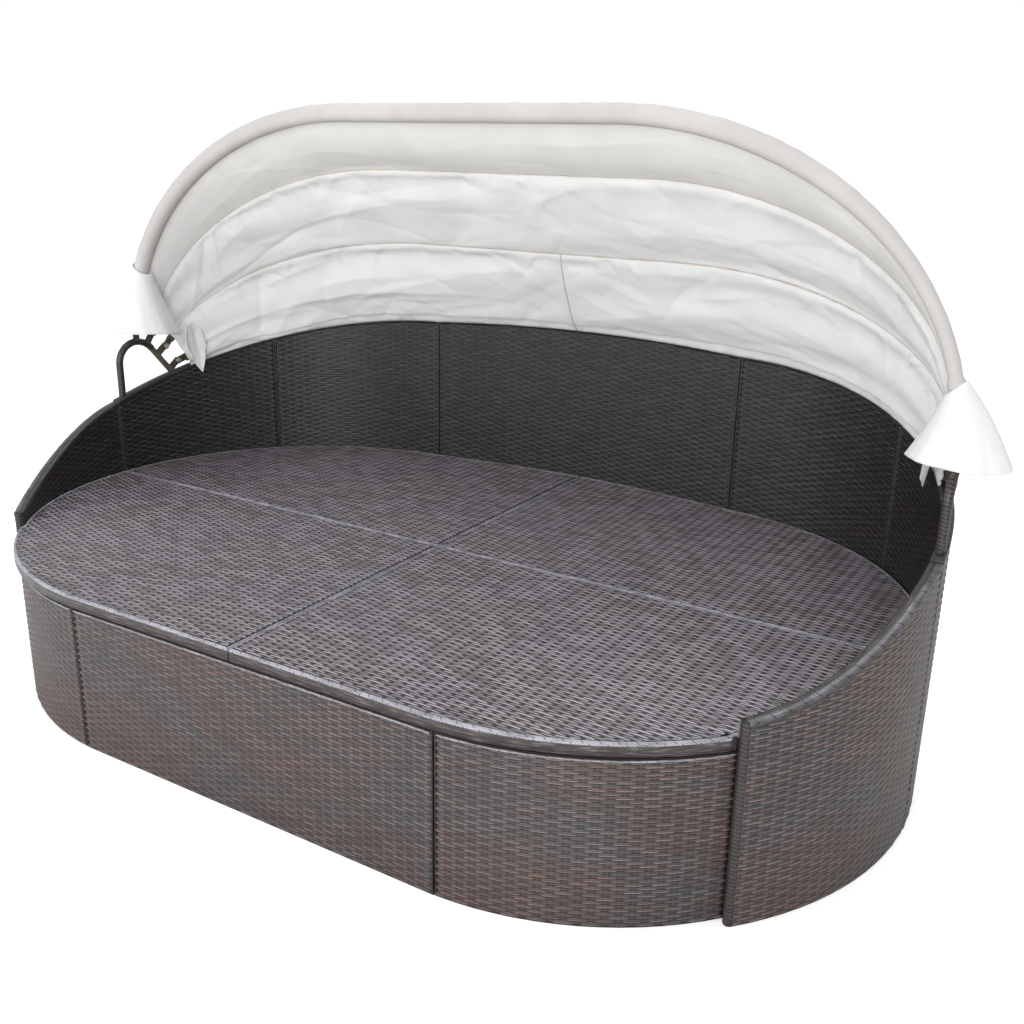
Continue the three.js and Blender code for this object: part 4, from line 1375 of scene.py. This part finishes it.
# %% The three panels
front_edge = functools.partial(beside, front_line, second_line, distance=front_edge_distance)
second_seam = functools.partial(
    beside, second_line, front_line, distance=seam_distance, inward_angle=second_seam_angle)
third_seam = functools.partial(
    beside, third_line, second_line, distance=seam_distance, inward_angle=third_seam_angle)
panels = {
    "front": (warm_cloth, dict(
        top_edge=front_edge, low_edge=second_seam, sag=0.014, creases=front_creases,
        low_puckers=dict(seed=21, pitch=0.05, depth=0.0020, reach=0.012))),
    "middle": (canopy_cloth, dict(
        top_edge=second_seam, low_edge=third_seam, sag=0.008, creases=middle_creases,
        low_puckers=dict(seed=23, pitch=0.05, depth=0.0025, reach=0.012), first_angle=second_seam_angle,
        top_puckers=dict(seed=22, pitch=0.030, depth=0.0066, reach=0.032))),
    "rear": (rear_cloth_painted_light, dict(
        top_edge=third_seam, low_edge=hem_edge, sag=0.010, creases=rear_creases,
        low_puckers=dict(seed=25, pitch=0.022, depth=0.0055, reach=0.026), first_angle=third_seam_angle,
        top_puckers=dict(seed=24, pitch=0.030, depth=0.0076, reach=0.036))),
}
canopy = {}
for part, (finish, sizes) in panels.items():
    piece = cloth_sheet(f"canopy_{part}_cloth", panel_columns, panel_rows, canopy_panel(**sizes), finish)
    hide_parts(f"canopy_{part}_panel")
    shares = np.linspace(0, 1, line_steps)
    wide = max(line_length(sizes[edge](shares)) for edge in ("top_edge", "low_edge"))
    "front_bow" if part == "front" else "second_bow"
    canopy[part] = piece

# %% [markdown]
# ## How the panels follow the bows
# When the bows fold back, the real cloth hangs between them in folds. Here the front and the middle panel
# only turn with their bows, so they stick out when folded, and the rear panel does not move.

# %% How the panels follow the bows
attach(canopy["front"], "front_hoop")
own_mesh(canopy["front"])
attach(canopy["middle"], "second_hoop")
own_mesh(canopy["middle"])
third_top, rear_top = third_line.at(0.5), rear_line.at(0.5)
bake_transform(canopy["rear"])

# %% [markdown]
# ## Sleeve, pockets and hem
# The front bow runs in a thick sleeve, the next two in narrow pockets behind the panels, and a hem wraps
# the rear bow except below. Each is a grid rolled round the bow's line, because the line gives the
# direction of the tube at every point. The sleeve's right end is gathered thin above its flap.

# %% Sleeves, pockets and hem round the bows
sleeve_radius = 0.018
sleeve_start = 0.138
right_sleeve_start = 0.090
pocket_start = 0.040
share_steps = 2000
tube_steps = 420
tube_sides = 16
ripple_count, ripple_drift, ripple_beat = 260, 31, 57
gathered_span = (-0.26, -0.03)
rolled_end = (0.006, 0.010)
roll_share = 0.20


def share_at(line, rise):
    """The share of the line's left half at which it stands a given height above its foot."""
    shares = np.linspace(0.5, 1.0, share_steps)
    heights = (line.at(shares) - line.pivot) @ line.up
    return float(np.interp(-rise, -heights, shares))


def cloth_tube(name, line, radius, body, node, material, pucker, last=1.0, opened=0.0, twist=0.0, taper=0.0):
    """Cloth drawn round a bow, with small wrinkles across it. opened leaves a gap on the under side, and
    taper gathers the first end."""
    mesh, column, row = bent_grid(name, tube_sides, tube_steps)
    share = row / tube_steps * last
    turn = opened / 2 + twist + (2 * np.pi - opened) * column / tube_sides
    centre = line.at(share)
    along, outward = line.frame(share)
    other = np.cross(along, outward)
    ripple = np.sin(share * ripple_count + 3 * np.sin(share * ripple_drift))
    ripple *= np.sin(share * ripple_beat + 1.0)
    reach = radius * (1 + pucker * ripple * (0.6 + 0.4 * np.cos(turn)))
    reach *= 1 - taper * smooth_step(-share, *gathered_span)
    if taper:
        rib = 1 + 0.05 * np.sin(9 * turn)
        reach *= 1 + roll_share * rib * (1 - smooth_step(share, *rolled_end))
    points = centre + outward * (reach * np.cos(turn))[:, None] + other * (reach * np.sin(turn))[:, None]
    set_uv(mesh, "cloth", column / tube_sides, share)
    set_points(mesh, points)
    if not opened:
        close_mesh(mesh, caps=False)
    piece = show(name, mesh, material, cloth_thickness, 0.0 if opened else -1.0)
    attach(piece, body)
    if node:
        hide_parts(node)
    length = line_length(line.at(np.linspace(0, last, 300)))


right_sleeve_line = BowLine("front_bow", right_sleeve_start)
cloth_tube("front_bow_sleeve", right_sleeve_line, sleeve_radius, "front_hoop", "front_sleeve", sleeve_cloth_painted_shade,
           pucker=0.03, last=share_at(right_sleeve_line, sleeve_start), taper=0.34)
cloth_tube("second_bow_pocket", BowLine("second_bow", pocket_start), pocket_radius, "second_hoop",
           "second_pocket", canopy_cloth, pucker=0.06)
cloth_tube("third_bow_pocket", BowLine("third_bow", pocket_start), pocket_radius, "third_hoop",
           "third_pocket", canopy_cloth, pucker=0.08)
cloth_tube("rear_bow_hem", rear_line, hem_radius, "base", None, canopy_cloth,
           pucker=0.06, opened=math.radians(70), twist=math.radians(90))

# %% [markdown]
# ## End flaps
# A flap of cloth hides each foot of the front bow. It is tight round the sleeve at its top, widens
# downwards in soft waves, and is open on its outer side. The right one sits lower than the left one.

# %% End flaps
flap_overlap = 0.008
right_flap_overlap = 0.004
flap_hem_drop = {"left": 0.010, "right": 0.030}
flap_top = {"left": sleeve_start + flap_overlap, "right": right_sleeve_start + right_flap_overlap}
flap_top_radius = {"left": 0.0200, "right": 0.0135}
flap_reach_x = 0.080
flap_reach_y = {"left": 0.068, "right": 0.076}
flap_setback = 0.039
flap_opening = math.radians(84)
flap_flare = 0.9
flap_tilt = 0.012
flap_sway = 0.004
flap_columns = 100
flap_rows = 40
front_bare = BowLine("front_bow")


def flap_shape(side_name, side):
    """A flap round the bow's foot, open on its outer side, that widens and waves towards its hem."""
    start, drop, neck = flap_top[side_name], flap_hem_drop[side_name], flap_top_radius[side_name]

    def shape(u, v):
        opened = flap_opening / 2
        angle = math.pi / 2 + opened + u * (2 * math.pi - 2 * opened)
        rise = start - v * (start + drop)
        wave = 0.045 * np.cos(3 * angle + 0.8) + 0.022 * np.cos(7 * angle + 2.0 * v)
        fold = 1 + v * (wave + 0.006 * np.sin(19 * angle))
        reach_x = neck + (flap_reach_x - neck) * v**flap_flare
        reach_y = neck + (flap_reach_y[side_name] - neck) * v**flap_flare
        slant = np.sqrt(1 - np.clip(rise / front_bare.height, 0, 1) ** 2)
        side_reach = front_bare.half_width - front_bare.half_straight
        tilt = flap_tilt * (1 - v) * np.cos(angle)
        x = front_bare.half_straight + side_reach * slant + fold * reach_x * np.cos(angle)
        y = front_bare.pivot[1] + front_bare.up[1] * rise + flap_setback * v + fold * reach_y * np.sin(angle)
        z = front_bare.pivot[2] + front_bare.up[2] * rise + tilt + flap_sway * v * np.sin(2 * angle)
        return xyz(side * x, y, z)

    return shape


for side_name, side in sides.items():
    piece = cloth_sheet(
        f"{side_name}_end_flap_cloth", flap_columns, flap_rows, flap_shape(side_name, side), flap_cloth_painted_shade)
    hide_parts(f"{side_name}_end_flap")
    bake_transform(piece)

# %% [markdown]
# ## Gathered corners
# At the ends of the canopy spare cloth hangs down inside the wall in pleats and ends in a point. Each
# corner is a small sheet whose length changes across it, so that its lower edge slants.

# %% Gathered corners over the feet of the rear bow
tip_columns = 48
tip_rows = 40
tip_width = {"left": 0.062, "right": 0.050}
tip_length = {"left": 0.121, "right": 0.116}
tip_shift = {"left": 0.004, "right": 0.026}
tip_point = {"left": 0.72, "right": 0.35}
tip_dip = {"left": 0.38, "right": 0.16}
hang_inset = np.array([0.018, 0.0, -0.012])
low_inset = np.array([0.024, 0.0, 0.0])
tip_inset = 0.022
tip_lean = 0.020
tip_ahead = 0.050
tip_rise = 0.020
tip_slope = 0.10
pleat_depth, small_pleat_depth = 0.004, 0.003


def tip_shape(side_name, side):
    """Spare cloth that hangs from the third bow's foot inside the wall and ends in a point."""
    foot, inwards = np.array([0.0 if side > 0 else 1.0]), np.array([side, 1.0, 1.0])
    hang = third_line.at(foot)[0] - inwards * hang_inset
    low = rear_line.at(foot)[0] - inwards * low_inset
    step = (low - hang) / np.linalg.norm(low - hang)

    def shape(u, v):
        point, dips = tip_point[side_name], tip_dip[side_name]
        wide = tip_width[side_name] * (0.7 + 0.3 * smooth_step(v, 0.0, 0.4))
        wide *= 1 - 0.35 * smooth_step(v, 0.6, 1.0)
        run = (u - 0.5) * wide + tip_shift[side_name]
        dip = np.where(u < point, u / point, 1 - 0.8 * (u - point) / (1 - point))
        drop = tip_length[side_name] * v * (1 - dips + dips * dip)
        pleat = pleat_depth * np.cos(5.5 * u + 1.5 * v) + small_pleat_depth * (1 - v) * np.cos(14 * u)
        x = hang[0] - side * (tip_inset + tip_lean * v + pleat)
        y = hang[1] + step[1] * tip_ahead + run
        z = hang[2] + tip_rise - drop + tip_slope * run
        return xyz(x, y, z)

    return shape


for side_name, side in sides.items():
    piece = cloth_sheet(
        f"{side_name}_corner_cloth", tip_columns, tip_rows, tip_shape(side_name, side), flap_cloth_painted_shade)
    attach(piece, "base")
print("cloth made")

# %% [markdown]
# ## Studio
# A pale floor, an even pale surround and three soft lamps. The camera stands where the photograph was taken
# from.

# %% Floor, light and camera
floor_glow = 0.42
floor_half = 20.0


def stage_floor():
    mesh = bpy.data.meshes.new("floor")
    ground = bmesh.new()
    bmesh.ops.create_grid(ground, x_segments=1, y_segments=1, size=floor_half)
    ground.to_mesh(mesh)
    ground.free()
    finish = Finish("floor_white")
    path = finish.node("ShaderNodeLightPath")
    finish.set(Base_Color=tone(0.93, 0.93, 0.93), Roughness=0.9, Emission_Color=tone(1.0, 1.0, 1.0),
               Emission_Strength=finish.math("MULTIPLY", path.outputs["Is Camera Ray"], floor_glow))
    mesh.materials.append(finish.material)
    add_object("floor", mesh)


def soft_lamp(name, place, target, size, watts):
    light = bpy.data.lights.new(name, "AREA")
    light.size = size
    light.energy = watts
    lamp = add_object(name, light)
    lamp.location = place
    lamp.rotation_euler = (Vector(target) - Vector(place)).to_track_quat("-Z", "Y").to_euler()


deck_middle = (0.0, 0.0, 0.3)
cloth_middle = (0.0, 0.2, 0.8)
stage_floor()
soft_lamp("top_lamp", (0.0, 1.25, 4.2), deck_middle, size=2.6, watts=84.0)
soft_lamp("key_lamp", (1.3, -3.6, 1.5), cloth_middle, size=2.6, watts=78.0)
soft_lamp("fill_lamp", (-2.6, -2.8, 1.4), cloth_middle, size=2.4, watts=38.0)

surround_light = 0.68
world = bpy.data.worlds.new("surround")
world.use_nodes = True
bpy.context.scene.world = world
surround = world.node_tree.nodes["Background"]
surround.inputs["Color"].default_value = tone(1.0, 1.0, 1.0)
light_path = world.node_tree.nodes.new("ShaderNodeLightPath")
seen = world.node_tree.nodes.new("ShaderNodeMapRange")
seen.inputs["To Min"].default_value = surround_light
seen.inputs["To Max"].default_value = 1.0
world.node_tree.links.new(light_path.outputs["Is Camera Ray"], seen.inputs["Value"])
world.node_tree.links.new(seen.outputs["Result"], surround.inputs["Strength"])

camera_place = (1.234, -1.7571, 1.092)
camera_yaw = 0.5481
camera_pitch = 0.3201
camera_roll = 0.019
camera_lens = 39.02
sensor_width = 36.0

lens = bpy.data.cameras.new("camera")
lens.lens = camera_lens
lens.sensor_width = sensor_width
camera = add_object("camera", lens)
camera.matrix_world = (
    Matrix.Translation(camera_place)
    @ Matrix.Rotation(camera_yaw, 4, "Z")
    @ Matrix.Rotation(math.pi / 2 - camera_pitch, 4, "X")
    @ Matrix.Rotation(camera_roll, 4, "Z")
)
bpy.context.scene.camera = camera
bpy.context.scene.view_settings.view_transform = "Standard"
